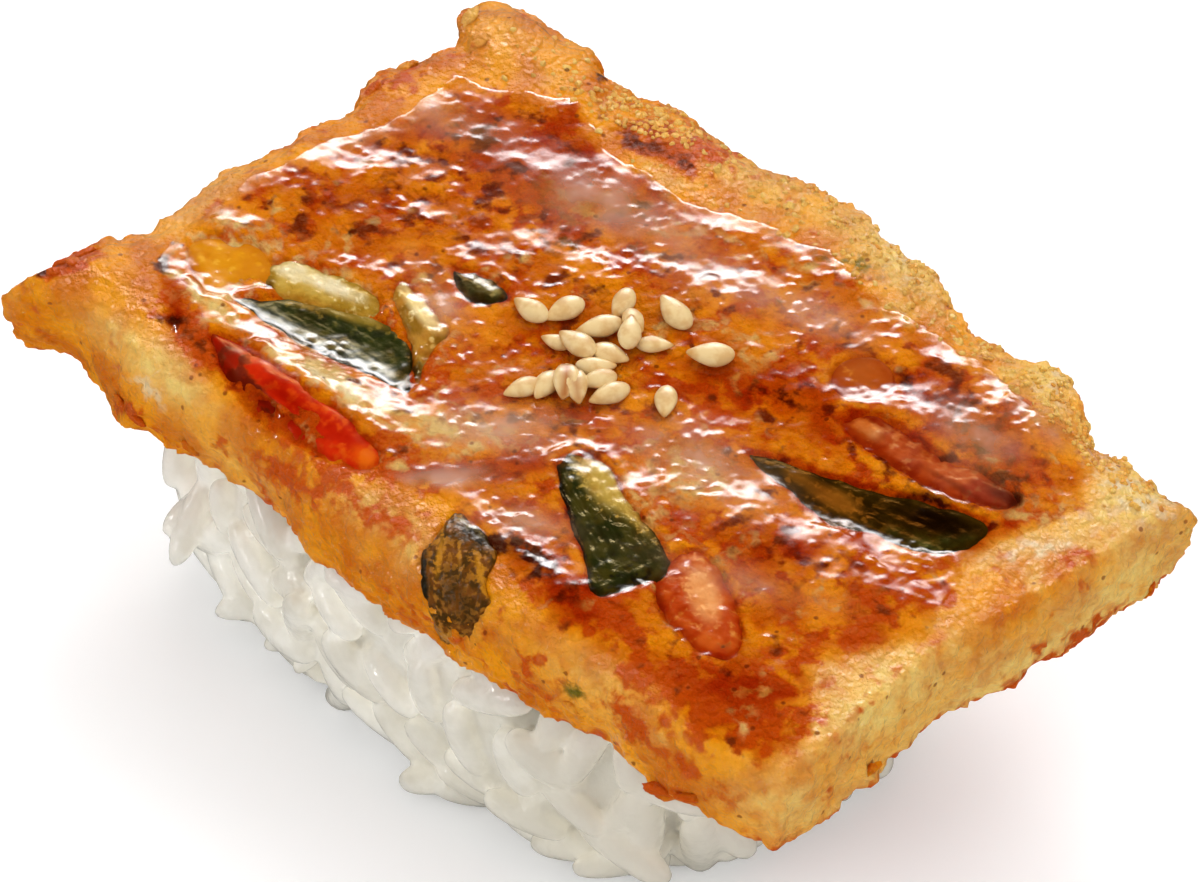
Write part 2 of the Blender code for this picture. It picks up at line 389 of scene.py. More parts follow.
def placing(middle: Vector, *axes: Vector) -> Matrix:
    """The matrix that turns X, Y and Z to three axes and moves the origin to a middle."""
    return Matrix.Translation(middle) @ Matrix(axes).transposed().to_4x4()


def cad_mesh(node: str) -> Mesh:
    """A copy of a CAD mesh with its doubled vertices joined.

    Args:
        node: The CAD node.

    Returns:
        The copy.
    """
    cleaned = bmesh.new()
    cleaned.from_mesh(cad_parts[node].data)
    bmesh.ops.remove_doubles(cleaned, verts=cleaned.verts, dist=0.001 * MM)
    return mesh_from(cleaned, f"{node}_copy")


# ---- The view that places are named in ----


def bearing(azimuth: float, elevation: float) -> tuple[float, float, float]:
    """The way from the sushi to a place round it, for angles in degrees."""
    turn, lift = math.radians(azimuth), math.radians(elevation)
    return math.sin(turn) * math.cos(lift), -math.cos(turn) * math.cos(lift), math.sin(lift)


@dataclass(frozen=True)
class View:
    """The camera, and the places that its 1200 by 882 picture gives."""

    azimuth: float = 46.0
    elevation: float = 46.0
    distance: float = 0.42
    target: tuple[float, float, float] = (-0.0038, 0.00252, 0.013)
    width: int = 1200
    height: int = 882
    pixels_per_metre: float = 14500.0
    sensor: float = 36.0

    @property
    def centre(self) -> tuple[float, float]:
        """The middle of the picture, in pixels."""
        return self.width / 2, self.height / 2

    @property
    def axes(self) -> tuple[Array, Array, Array]:
        """Unit vectors to the right, up and back towards the eye.

        Returns:
            The three unit vectors.
        """
        turn = math.radians(self.azimuth)
        back = np.array(bearing(self.azimuth, self.elevation))
        right = np.array([math.cos(turn), math.sin(turn), 0.0])
        return right, np.cross(back, right), back

    @property
    def eye(self) -> Array:
        """Where the camera is."""
        return np.array(self.target) + self.axes[2] * self.distance

    def pixels(self, points: Array) -> Array:
        """Where points appear in the picture.

        Args:
            points: Places, one a row.

        Returns:
            Columns across and down, in pixels.
        """
        right, up, back = self.axes
        offset = points - self.eye
        away = -(offset @ back)
        reach = self.pixels_per_metre * self.distance
        across = self.centre[0] + reach * (offset @ right) / away
        down = self.centre[1] - reach * (offset @ up) / away
        return np.stack([across, down], axis=1)

    def ray(self, across: float, down: float) -> tuple[Vector, Vector]:
        """The line of sight through a place of the picture.

        Args:
            across: Pixels from the left.
            down: Pixels from the top.

        Returns:
            Its start and its direction.
        """
        right, up, back = self.axes
        reach = self.pixels_per_metre * self.distance
        direction = (across - self.centre[0]) / reach * right - (down - self.centre[1]) / reach * up - back
        return Vector(self.eye), Vector(direction).normalized()

    def way(self, turn: float) -> Vector:
        """The way that points so many degrees down from the right in the picture."""
        right, up, _ = self.axes
        return Vector(right * math.cos(math.radians(turn)) - up * math.sin(math.radians(turn)))

    def place_camera(self) -> None:
        """Puts the camera in the scene."""
        data = bpy.data.cameras.new("camera")
        data.sensor_width = self.sensor
        data.lens = self.pixels_per_metre * self.distance / self.width * self.sensor
        data.clip_start = 0.01
        camera = added("camera", data)
        camera.matrix_world = placing(Vector(self.eye), *(Vector(axis) for axis in self.axes))
        bpy.context.scene.camera = camera


VIEW = View()
PIXELS_PER_MM = VIEW.pixels_per_metre * MM


class Tint(Enum):
    """What a patch of the pancake's surface is like."""

    BROWNED = "browned"
    CHAR_AND_SHADOW = "char_and_shadow"
    PALE = "pale"
    GLAZED = "glazed"
    CRUMBLY = "crumbly"
    GREEN = "green"
    CREAMY = "creamy"
    DEEPENED = "deepened"
    SUNKEN = "sunken"
    RAISED = "raised"
    # painted sheen in the glaze, standing in for soft reflections
    PAINTED_SHEEN = "painted_sheen"
    BARE = "bare"


@dataclass(frozen=True)
class Patch:
    """A soft oval patch, named by its place in the view: middle, half length, half width and turn."""

    across: float
    down: float
    length: float
    width: float
    turn: float = 0.0
    strength: float = 1.0

    def cover(self, pixels: Array) -> Array:
        """How much of the patch covers each place.

        Args:
            pixels: Places in the view, one a row.

        Returns:
            Shares from 0 to its strength.
        """
        turn = math.radians(self.turn)
        x, y = pixels[:, 0] - self.across, pixels[:, 1] - self.down
        along = (x * math.cos(turn) + y * math.sin(turn)) / self.length
        aside = (y * math.cos(turn) - x * math.sin(turn)) / self.width
        return self.strength * np.exp(-(along**2 + aside**2))


def covered(rows: Rows, pixels: Array) -> Array:
    """How strongly patches together cover each place.

    Args:
        rows: The numbers of the patches, one patch a row.
        pixels: Places in the view, one a row.

    Returns:
        Shares, 0 where there is none.
    """
    clear = np.ones(len(pixels))
    for row in rows:
        clear *= 1 - np.clip(Patch(*row).cover(pixels), 0, 1)
    return 1 - clear


# ---- Materials ----


@dataclass
class Bench:
    """Lays out the nodes of one material or group."""

    tree: NodeTree

    def node(self, kind: str, **settings: object) -> Node:
        """A new node.

        Args:
            kind: Its type, without ShaderNode in front.
            settings: Its properties.

        Returns:
            The node.
        """
        made = self.tree.nodes.new(f"ShaderNode{kind}")
        for name, value in settings.items():
            setattr(made, name, value)
        return made

    def join(self, source: object, target: NodeSocket) -> None:
        """Links an output to an input, or sets the input to a number or a colour.

        Args:
            source: The output, number or colour.
            target: The input.
        """
        if isinstance(source, tuple):
            target.default_value = (*source, 1.0)
        elif isinstance(source, (int, float)):
            target.default_value = source
        else:
            self.tree.links.new(source, target)

    def feed(self, node: Node, inputs: dict[object, object]) -> None:
        """Joins outputs, numbers or colours to a node's inputs, which go by name or number."""
        for name, source in inputs.items():
            self.join(source, node.inputs[name])

    def result(
        self, kind: str, output: object, inputs: dict[object, object], **settings: object
    ) -> NodeSocket:
        """What a new node puts out.

        Args:
            kind: Its type, without ShaderNode in front.
            output: Name or number of the output that is wanted.
            inputs: Outputs, numbers or colours for its inputs, by name or number.
            settings: Its properties.

        Returns:
            The output.
        """
        made = self.node(kind, **settings)
        self.feed(made, inputs)
        return made.outputs[output]

    def field(self, name: str) -> NodeSocket:
        """The number that the mesh stores under a name."""
        return self.node("Attribute", attribute_name=name).outputs["Fac"]

    def maths(self, operation: str, first: object, second: object = 0.0) -> NodeSocket:
        """The result of a sum of two numbers or outputs."""
        return self.result("Math", "Value", {0: first, 1: second}, operation=operation)

    def ramp(self, value: object, low: object, high: object) -> NodeSocket:
        """A value spread along an S curve, from 0 at low to 1 at high."""
        inputs = {"Value": value, "From Min": low, "From Max": high}
        return self.result("MapRange", "Result", inputs, interpolation_type="SMOOTHSTEP")

    def spread(self, value: object, low: float, high: float) -> NodeSocket:
        """A value from 0 to 1 turned into one from low to high."""
        return self.result("MapRange", "Result", {"Value": value, "To Min": low, "To Max": high})

    def mix(self, share: object, first: object, second: object) -> NodeSocket:
        """One colour turning into another as the share goes from 0 to 1."""
        return self.result("Mix", 2, {0: share, 6: first, 7: second}, data_type="RGBA")

    def group(self, tree: NodeTree, **values: float) -> NodeSocket:
        """What a shared group puts out, given numbers for its inputs."""
        return self.result("Group", 0, values, node_tree=tree)

    def bumps(self, size: float, strength: float, height: float) -> NodeSocket:
        """The normal of a surface with fine relief of a size and height in metres."""
        relief = self.group(relief_group(), Size=size)
        return self.result("Bump", "Normal", {"Strength": strength, "Distance": height, "Height": relief})


def open_group(
    name: str, inputs: dict[str, float], output: str
) -> tuple[Bench, Mapping[str, NodeSocket], NodeSocket]:
    """Starts a shared node group that puts out one number.

    Args:
        name: Its name.
        inputs: Its number inputs and their usual values.
        output: Name of its output.

    Returns:
        The bench, what the group is given and the socket of what it puts out.
    """
    tree = bpy.data.node_groups.new(name, "ShaderNodeTree")
    for socket, value in inputs.items():
        made = tree.interface.new_socket(socket, in_out="INPUT", socket_type="NodeSocketFloat")
        made.default_value = value
    tree.interface.new_socket(output, in_out="OUTPUT", socket_type="NodeSocketFloat")
    given, out = tree.nodes.new("NodeGroupInput"), tree.nodes.new("NodeGroupOutput")
    return Bench(tree), given.outputs, out.inputs[output]


@cache
def mottle_group() -> NodeTree:
    """Soft uneven patches: inputs are their size in metres and their sharpness, output is a mask.

    Returns:
        The group.
    """
    usual = {"Size": 0.003, "Low": 0.4, "High": 0.6, "Detail": 3.0}
    bench, given, out = open_group("mottle", usual, "Mask")
    where = bench.node("TexCoord").outputs["Object"]
    scale = bench.maths("DIVIDE", 1.0, given["Size"])
    inputs = {"Vector": where, "Scale": scale, "Detail": given["Detail"]}
    noise = bench.result("TexNoise", "Fac", inputs, noise_dimensions="3D")
    bench.join(bench.ramp(noise, given["Low"], given["High"]), out)
    return bench.tree


@cache
def specks_group() -> NodeTree:
    """Sparse round specks: inputs are their spacing and their size as a share of it, output is a mask.

    Returns:
        The group.
    """
    bench, given, out = open_group("specks", {"Spacing": 0.002, "Share": 0.2}, "Mask")
    where = bench.node("TexCoord").outputs["Object"]
    scale = bench.maths("DIVIDE", 1.0, given["Spacing"])
    cells = bench.result("TexVoronoi", "Distance", {"Vector": where, "Scale": scale}, feature="F1")
    core = bench.maths("MULTIPLY", given["Share"], 0.5)
    bench.join(bench.ramp(cells, given["Share"], core), out)
    return bench.tree


@cache
def relief_group() -> NodeTree:
    """Fine uneven relief: input is its size in metres, output is a height from 0 to 1.

    Returns:
        The group.
    """
    bench, given, out = open_group("fine_relief", {"Size": 0.0006}, "Height")
    where = bench.node("TexCoord").outputs["Object"]
    scale = bench.maths("DIVIDE", 1.0, given["Size"])
    coarser = bench.maths("MULTIPLY", scale, 0.7)
    inputs = {"Vector": where, "Scale": scale, "Detail": 4.0}
    noise = bench.result("TexNoise", "Fac", inputs, noise_dimensions="3D")
    cells = bench.result("TexVoronoi", "Distance", {"Vector": where, "Scale": coarser}, feature="F1")
    pits = bench.result("Math", "Value", {0: cells, 1: -0.5, 2: 0.6}, operation="MULTIPLY_ADD")
    bench.join(bench.maths("ADD", noise, pits), out)
    return bench.tree


def new_material(name: str) -> tuple[Material, Bench, Node]:
    """A material with its bench and its Principled shader.

    Args:
        name: Its name.

    Returns:
        All three.
    """
    material = bpy.data.materials.new(name)
    material.use_nodes = True
    return material, Bench(material.node_tree), material.node_tree.nodes["Principled BSDF"]


def soften(shader: Node, weight: float, radius: Colour, scale: float) -> None:
    """Lets light into a food.

    Args:
        shader: The Principled shader.
        weight: Share of light that goes in.
        radius: How far red, green and blue spread, as shares.
        scale: Distance that 1 stands for, in metres.
    """
    shader.subsurface_method = "BURLEY"
    for name, value in (("Weight", weight), ("Radius", radius), ("Scale", scale)):
        shader.inputs[f"Subsurface {name}"].default_value = value


@dataclass(frozen=True)
class BatterFinish:
    """Fried batter: pale and soft where cut, golden on its face, brown to blackened on its ridges, with a
    painted shadow beside the carrot.
    """

    pale: Colour = (0.9, 0.62, 0.175)
    golden: Colour = (0.87, 0.31, 0.002)
    amber: Colour = (0.62, 0.14, 0.0005)
    browned: Colour = (0.57, 0.078, 0.0003)
    deep_brown: Colour = (0.2, 0.026, 0.001)
    char_and_shadow: Colour = (0.07, 0.008, 0.001)
    green: Colour = (0.16, 0.13, 0.01)
    creamy: Colour = (0.84, 0.66, 0.38)
    relief: float = 0.00065

    def material(self) -> Material:
        """The material of the batter, which reads a field for each tint, and oily.

        Returns:
            The material.
        """
        material, bench, shader = new_material("batter")
        broad = bench.group(mottle_group(), Size=0.0036, Low=0.36, High=0.64)
        fine = bench.group(mottle_group(), Size=0.0011, Low=0.38, High=0.66, Detail=5.0)
        colour = bench.mix(bench.spread(broad, 0.0, 0.9), self.golden, self.amber)
        pale = bench.maths("MULTIPLY", bench.field("pale"), bench.spread(fine, 1.0, 0.6))
        colour = bench.mix(pale, colour, self.pale)
        for name, tint, low, high in (
            ("browned", self.browned, 0.15, 0.75),
            ("creamy", self.creamy, 0.15, 0.9),
            ("green", self.green, 0.2, 0.9),
            ("deepened", self.deep_brown, 0.2, 0.9),
            # Blackened marks, and a painted shadow where the field asks
            ("char_and_shadow", self.char_and_shadow, 0.25, 0.9),
        ):
            uneven = bench.maths("ADD", bench.field(name), bench.spread(fine, -0.28, 0.22))
            colour = bench.mix(bench.ramp(uneven, low, high), colour, tint)
        specks = bench.group(specks_group(), Spacing=0.0019, Share=0.12)
        colour = bench.mix(bench.maths("MULTIPLY", specks, 0.75), colour, self.deep_brown)
        oily = bench.field("oily")
        normal = bench.bumps(0.00046, 0.9, self.relief)
        bench.feed(shader, {
            "Base Color": colour, "Roughness": bench.spread(oily, 0.6, 0.34), "Specular IOR Level": 0.08,
            "Normal": normal, "Coat Weight": oily, "Coat Roughness": 0.1, "Coat Normal": normal,
        })
        soften(shader, 0.25, (1.0, 0.42, 0.08), 0.0018)
        return material


@dataclass(frozen=True)
class SliceFinish:
    """A cooked vegetable: its main colour, two that mottle it, and those of its dark and its light places,
    which on two leek slices also paint a highlight.
    """

    name: str
    main: Colour
    second: Colour
    third: Colour
    dark: Colour
    light: Colour
    mottle: float = 0.0022
    second_share: float = 0.5
    third_share: float = 0.25
    roughness: float = 0.3
    inner_light: float = 0.1
    relief_size: float = 0.0005
    relief: float = 0.00012

    def material(self) -> Material:
        """The material of the slice, which reads the fields dark and light.

        Returns:
            The material.
        """
        material, bench, shader = new_material(self.name)
        edge = 0.5 + 0.5 * (0.5 - self.second_share)
        broad = bench.group(mottle_group(), Size=self.mottle, Low=edge - 0.09, High=edge + 0.09)
        edge = 0.5 + 0.5 * (0.5 - self.third_share)
        size = self.mottle * 0.36
        fine = bench.group(mottle_group(), Size=size, Low=edge - 0.08, High=edge + 0.08, Detail=4.0)
        colour = bench.mix(broad, self.main, self.second)
        colour = bench.mix(fine, colour, self.third)
        for name, tint in (("light", self.light), ("dark", self.dark)):
            uneven = bench.maths("ADD", bench.field(name), bench.spread(fine, -0.15, 0.2))
            colour = bench.mix(bench.ramp(uneven, 0.15, 0.8), colour, tint)
        bench.feed(shader, {
            "Base Color": colour,
            "Roughness": bench.spread(fine, self.roughness, self.roughness + 0.2),
            "Specular IOR Level": 0.24,
            "Normal": bench.bumps(self.relief_size, 0.6, self.relief),
        })
        soften(shader, self.inner_light, (1.0, 0.6, 0.3), 0.0012)
        return material


@dataclass(frozen=True)
class RiceFinish:
    """Cooked rice: moist, white and translucent, a little different from grain to grain, with painted shade
    that darkens it towards the right of the view.
    """

    bright: Colour = (0.81, 0.79, 0.73)
    dim_and_shaded: Colour = (0.63, 0.595, 0.51)

    def material(self) -> Material:
        """The material of the rice, which reads the field grain, that holds each grain's tone together with
        painted shade.

        Returns:
            The material.
        """
        material, bench, shader = new_material("cooked_rice")
        fine = bench.group(mottle_group(), Size=0.0016, Low=0.35, High=0.7)
        # The grain field holds each grain's tone and a painted shade that darkens the rice towards the right
        # of the view
        mixed = bench.maths("ADD", bench.field("grain"), bench.spread(fine, -0.1, 0.2))
        bench.feed(shader, {
            "Base Color": bench.mix(mixed, self.bright, self.dim_and_shaded),
            "Roughness": bench.spread(fine, 0.08, 0.24),
            "Specular IOR Level": 0.5,
            "Normal": bench.bumps(0.0007, 0.5, 0.0002),
        })
        soften(shader, 0.95, (1.0, 0.95, 0.82), 0.0038)
        return material


@dataclass(frozen=True)
class SeedFinish:
    """Toasted sesame: cream with a tan tip and flank."""

    cream: Colour = (0.76, 0.55, 0.26)
    tan: Colour = (0.58, 0.3, 0.08)
    toasted: Colour = (0.4, 0.14, 0.03)

    def material(self) -> Material:
        """The material of the seeds, which reads the fields tip and toast.

        Returns:
            The material.
        """
        material, bench, shader = new_material("sesame")
        fine = bench.group(mottle_group(), Size=0.0011, Low=0.4, High=0.68)
        tan = bench.maths("ADD", bench.field("tip"), bench.spread(fine, 0.0, 0.7))
        colour = bench.mix(tan, self.cream, self.tan)
        bench.feed(shader, {
            "Base Color": bench.mix(bench.field("toast"), colour, self.toasted),
            "Roughness": bench.spread(fine, 0.3, 0.5),
            "Normal": bench.bumps(0.0004, 0.35, 0.00006),
        })
        soften(shader, 0.2, (1.0, 0.7, 0.4), 0.0008)
        return material


@dataclass(frozen=True)
class GlazeFinish:
    """Clear brown glaze: darker and redder where it is thick, with a mirror-smooth skin, and patches of
    painted sheen, a flat whitish colour that stands in for soft reflections.
    """

    barest: Colour = (0.99, 0.97, 0.91)
    thin: Colour = (0.94, 0.86, 0.62)
    medium: Colour = (0.72, 0.4, 0.13)
    deep: Colour = (0.55, 0.16, 0.025)
    painted_sheen: Colour = (0.74, 0.47, 0.33)
    roughness: float = 0.1
    bending: float = 1.47

    def material(self) -> Material:
        """The material of the glaze, which reads the field depth, in millimetres, and the field that holds
        the share of painted sheen.

        Returns:
            The material.
        """
        material, bench, shader = new_material("glaze")
        bench.tree.nodes.remove(shader)
        depth = bench.field("depth")
        colour = bench.mix(bench.ramp(depth, 0.0, 0.05), self.barest, self.thin)
        colour = bench.mix(bench.ramp(depth, 0.02, 0.3), colour, self.medium)
        colour = bench.mix(bench.ramp(depth, 0.28, 0.9), colour, self.deep)
        clear = bench.result("BsdfTransparent", 0, {"Color": colour})
        # Painted sheen: a flat whitish colour mixed into the glaze in place of soft reflections of the lights
        patchy = bench.group(mottle_group(), Size=0.003, Low=0.3, High=0.66)
        sheen_paint_colour = bench.mix(patchy, self.medium, self.painted_sheen)
        sheen_paint = bench.result("BsdfDiffuse", 0, {"Color": sheen_paint_colour})
        share = bench.maths("MULTIPLY", bench.field("sheen_paint"), bench.spread(patchy, 0.5, 1.0))
        body = bench.result("MixShader", 0, {0: share, 1: clear, 2: sheen_paint})
        normal = bench.bumps(0.0009, 0.25, 0.00006)
        shine = bench.result("BsdfGlossy", 0, {"Roughness": self.roughness, "Normal": normal})
        facing = bench.result("Fresnel", 0, {"IOR": self.bending})
        front = bench.maths("SUBTRACT", 1.0, bench.node("NewGeometry").outputs["Backfacing"])
        mirrored = bench.maths("MULTIPLY", facing, front)
        blend = bench.result("MixShader", 0, {0: mirrored, 1: body, 2: shine})
        bench.join(blend, bench.tree.nodes["Material Output"].inputs["Surface"])
        return material


# ---- The pancake ----

# Rows hold the middle across and down the view, half length, half width, turn and the strength if it is not 1
PATCHES: dict[Tint, Rows] = {
    Tint.BROWNED: (  # ridges and spots of bare batter
        (1030, 600, 75, 11, -37, 0.25), (290, 480, 50, 16, 38, 0.8), (640, 722, 30, 22, 20, 0.6),
        (530, 690, 50, 14, 38, 0.45), (690, 770, 60, 10, 35, 0.5), (400, 600, 60, 10, 40, 0.45),
        (250, 500, 60, 8, 38, 0.5), (1010, 500, 60, 20, 20, 0.5), (640, 60, 30, 20, 20, 0.4),
        (1075, 557, 22, 10, -10, 0.7), (66, 266, 38, 12, -24), (745, 705, 80, 42, 12, 0.8),
        (290, 402, 100, 26, 38), (190, 330, 40, 18, 60, 0.9), (405, 474, 46, 12, 8, 0.8),
        (640, 700, 30, 34, 0, 0.45), (380, 520, 45, 14, 32, 0.7), (330, 480, 30, 12, 40, 0.5),
        (575, 600, 55, 35, 20, 0.6), (930, 600, 30, 14, 0, 0.6), (870, 615, 40, 18, 10, 0.55),
        (130, 410, 18, 10, 20, 0.8), (680, 795, 35, 8, 10, 0.9), (1060, 650, 70, 9, -35, 0.7),
        (920, 765, 60, 7, -38, 0.6), (400, 80, 35, 25, -20, 0.6), (700, 150, 60, 22, 25, 0.7),
        (660, 150, 46, 18, 22), (545, 668, 40, 12, 38, 0.4),
    ),
    Tint.CHAR_AND_SHADOW: (  # blackened marks and dark smears, and a painted shadow at the right side of the carrot
        (42, 272, 16, 6, -28, 0.6), (640, 142, 26, 8, 22, 0.6), (690, 164, 34, 4, 25, 0.6),
        (505, 545, 40, 18, 15, 0.9), (545, 570, 34, 16, 35, 0.75), (930, 498, 44, 14, 12),
        (1010, 486, 30, 14, 25, 0.6), (600, 77, 12, 9, 20, 0.7), (163, 262, 12, 16, 20, 0.75),
        # The last of the next rows, at 905, 380, is a painted shadow at the right side of the carrot
        (170, 322, 15, 12, 0, 0.85), (205, 345, 30, 9, 30, 0.55), (905, 380, 16, 11, -20, 0.95),
        (780, 395, 30, 14, 15, 0.55), (1000, 495, 26, 8, 30, 0.7), (970, 405, 36, 20, 30, 0.35),
        (55, 262, 20, 7, -28, 0.5), (352, 231, 6, 4, 0, 0.9), (560, 590, 30, 18, 10, 0.45),
    ),
    Tint.DEEPENED: (  # dark red-brown under the glaze
        (250, 385, 60, 14, 40, 0.5), (662, 152, 42, 13, 22), (420, 150, 120, 40, 0, 0.35),
        (520, 250, 90, 30, 10, 0.3), (720, 520, 90, 22, 22, 0.3), (450, 205, 150, 40, -4, 0.42),
        (330, 190, 60, 36, -10, 0.2), (620, 130, 70, 26, 20, 0.4), (920, 470, 50, 22, 20, 0.5),
        (1010, 480, 40, 20, 25, 0.7), (790, 400, 60, 22, 15, 0.5), (660, 255, 80, 22, 15, 0.4),
        (540, 560, 44, 28, 20, 0.6), (960, 400, 60, 30, 20, 0.75), (830, 565, 60, 20, 15, 0.5),
        (850, 330, 50, 16, 20, 0.35), (780, 560, 60, 14, 15, 0.35), (560, 420, 80, 12, 5, 0.35),
    ),
    Tint.CREAMY: (  # light batter that shows through the glaze
        (450, 430, 75, 24, 10, 0.75), (690, 475, 75, 26, 25, 0.65), (740, 340, 60, 18, 20, 0.55),
        (610, 205, 90, 30, 15, 0.5), (338, 382, 88, 14, 28), (900, 258, 66, 22, 42, 0.4),
        (1052, 380, 40, 34, 45, 0.4), (820, 192, 70, 16, 28, 0.3), (228, 262, 62, 34, 15, 0.6),
        (325, 282, 70, 22, 24, 0.55), (640, 510, 60, 30, 50, 0.45), (1130, 490, 60, 26, 35, 0.6),
        (990, 320, 30, 20, 45, 0.5), (880, 310, 50, 14, 25, 0.4), (420, 335, 24, 40, -20, 0.5),
        (1040, 510, 40, 22, 10, 0.5), (1045, 545, 46, 14, -22, 0.6), (740, 250, 60, 16, 20, 0.4),
        (150, 388, 30, 12, 38, 0.5), (214, 306, 34, 16, 35, 0.8), (250, 224, 40, 12, 10, 0.4),
    ),
    Tint.PALE: (  # soft batter
        (120, 336, 40, 16, 30, 0.5), (165, 374, 60, 22, 38, 0.95), (370, 510, 44, 18, 30, 0.6),
        (410, 545, 16, 30, 10, 0.5), (880, 700, 90, 45, -35, 0.95), (1130, 500, 75, 40, -30),
        (1010, 540, 80, 22, -20, 0.6), (1000, 690, 190, 32, -36, 0.95), (1130, 590, 70, 30, -50, 0.95),
        (600, 690, 75, 28, 35, 0.4), (790, 810, 60, 30, 10, 0.75), (440, 460, 60, 18, 25, 0.6),
        (500, 30, 60, 30, 20, 0.2), (760, 180, 90, 22, 28, 0.5), (900, 260, 75, 28, 40, 0.9),
        (1050, 380, 50, 35, 45, 0.85), (200, 200, 60, 22, -35, 0.35), (240, 470, 60, 18, 38, 0.35),
    ),
    Tint.CRUMBLY: (  # crust at the far rim
        (830, 200, 110, 26, 32, 0.8), (960, 290, 75, 30, 50), (1050, 380, 50, 40, 40),
        (1120, 460, 50, 14, 35, 0.6), (640, 105, 70, 16, 25, 0.5),
    ),
    Tint.GREEN: (  # leaves that show through the batter
        (575, 692, 14, 8, 30, 0.8), (560, 240, 45, 14, 15, 0.55), (850, 262, 40, 16, 15, 0.6),
        (980, 440, 36, 16, 20, 0.35), (800, 300, 40, 14, 25, 0.3), (560, 560, 30, 14, 60, 0.3),
    ),
    Tint.SUNKEN: (  # hollows
        (905, 380, 12, 10, -20, 0.5), (930, 528, 52, 18, 8, 0.9), (795, 468, 36, 12, 25, 0.5),
        (965, 336, 44, 14, 25, 0.4), (1046, 402, 26, 18, 40, 0.35), (500, 500, 30, 12, 20, 0.4),
        (172, 318, 12, 22, 0, 0.6), (470, 470, 70, 9, -6, 0.5),
    ),
    Tint.RAISED: (  # swellings
        (338, 386, 70, 9, 28, 0.6), (300, 420, 60, 20, 38, 0.5), (1034, 436, 36, 22, 40, 0.8),
        (960, 368, 38, 14, 22, 0.6), (870, 600, 60, 20, 15, 0.5), (700, 440, 60, 22, 25, 0.5),
        (500, 505, 40, 18, 10, 0.4),
    ),
    Tint.PAINTED_SHEEN: (  # painted sheen: whitish patches that stand in for soft reflections on the glaze
        (690, 256, 80, 24, 30, 0.18), (600, 200, 70, 26, 15, 0.4), (500, 425, 60, 22, 5, 0.45),
        (700, 460, 62, 24, 28, 0.5), (440, 478, 54, 11, -6, 0.5), (1020, 392, 66, 16, 42, 0.55),
        (978, 438, 46, 26, 32, 0.42), (800, 310, 60, 18, 20, 0.35), (450, 120, 60, 20, 20, 0.3),
        (750, 212, 50, 11, 25, 0.35), (350, 140, 50, 10, -20, 0.35), (740, 580, 70, 14, 15, 0.25),
        (520, 520, 40, 14, 15, 0.45), (440, 300, 16, 40, -35, 0.45),
    ),
    Tint.BARE: (  # thin glaze
        (338, 386, 84, 12, 28), (330, 286, 66, 24, 24), (226, 262, 60, 44, 15, 0.9),
        (440, 440, 50, 20, 10, 0.6), (860, 378, 32, 24, 15, 0.7),
    ),
    Tint.GLAZED: (  # deep glaze
        (285, 400, 70, 24, 38, 0.6), (178, 304, 16, 36, 10, 0.5), (500, 150, 110, 45, 20, 0.55),
        (620, 200, 110, 40, 18, 0.5), (330, 215, 80, 32, 10, 0.25), (480, 470, 110, 12, -6, 0.6),
        (800, 400, 110, 35, 18, 0.6), (960, 430, 70, 30, 30, 0.7), (780, 560, 120, 30, 18, 0.4),
        (740, 690, 70, 32, 10, 0.45), (560, 600, 60, 30, 30, 0.6), (930, 520, 75, 18, 10, 0.8),
        (828, 496, 56, 21, 26),
    ),
}

# Edge of the glaze in the view, going round
GLAZE_EDGE: Rows = (
    (188, 226), (250, 178), (330, 138), (400, 118), (455, 76), (520, 92), (580, 98), (606, 148), (690, 202),
    (760, 222), (830, 252), (885, 306), (945, 338), (1012, 386), (1074, 436), (1094, 470), (1084, 512),
    (1010, 540), (965, 566), (930, 640), (850, 655), (818, 668), (812, 735), (760, 770), (690, 735),
    (660, 690), (600, 650), (545, 628), (500, 560), (440, 505), (385, 480), (330, 470), (262, 440),
    (215, 395), (182, 345), (154, 300), (158, 258),
)


@dataclass(frozen=True)
class Pull:
    """A place of the view where the edge is drawn out or pushed in: how far it reaches and where to."""

    across: float
    down: float
    reach: float
    right: float  # millimetres
    up: float  # millimetres

    def moved(self, pixels: Array) -> Array:
        """How far it moves points level with the table.

        Args:
            pixels: Where the points are in the view.

        Returns:
            The way each moves, in metres.
        """
        offset = pixels - np.array([self.across, self.down])
        share = np.exp(-np.sum(offset**2, axis=1) / self.reach**2)
        right, up, _ = VIEW.axes
        level = np.array([up[0], up[1], 0.0])
        way = right * self.right + level / (level @ level) * self.up
        return share[:, None] * way * MM


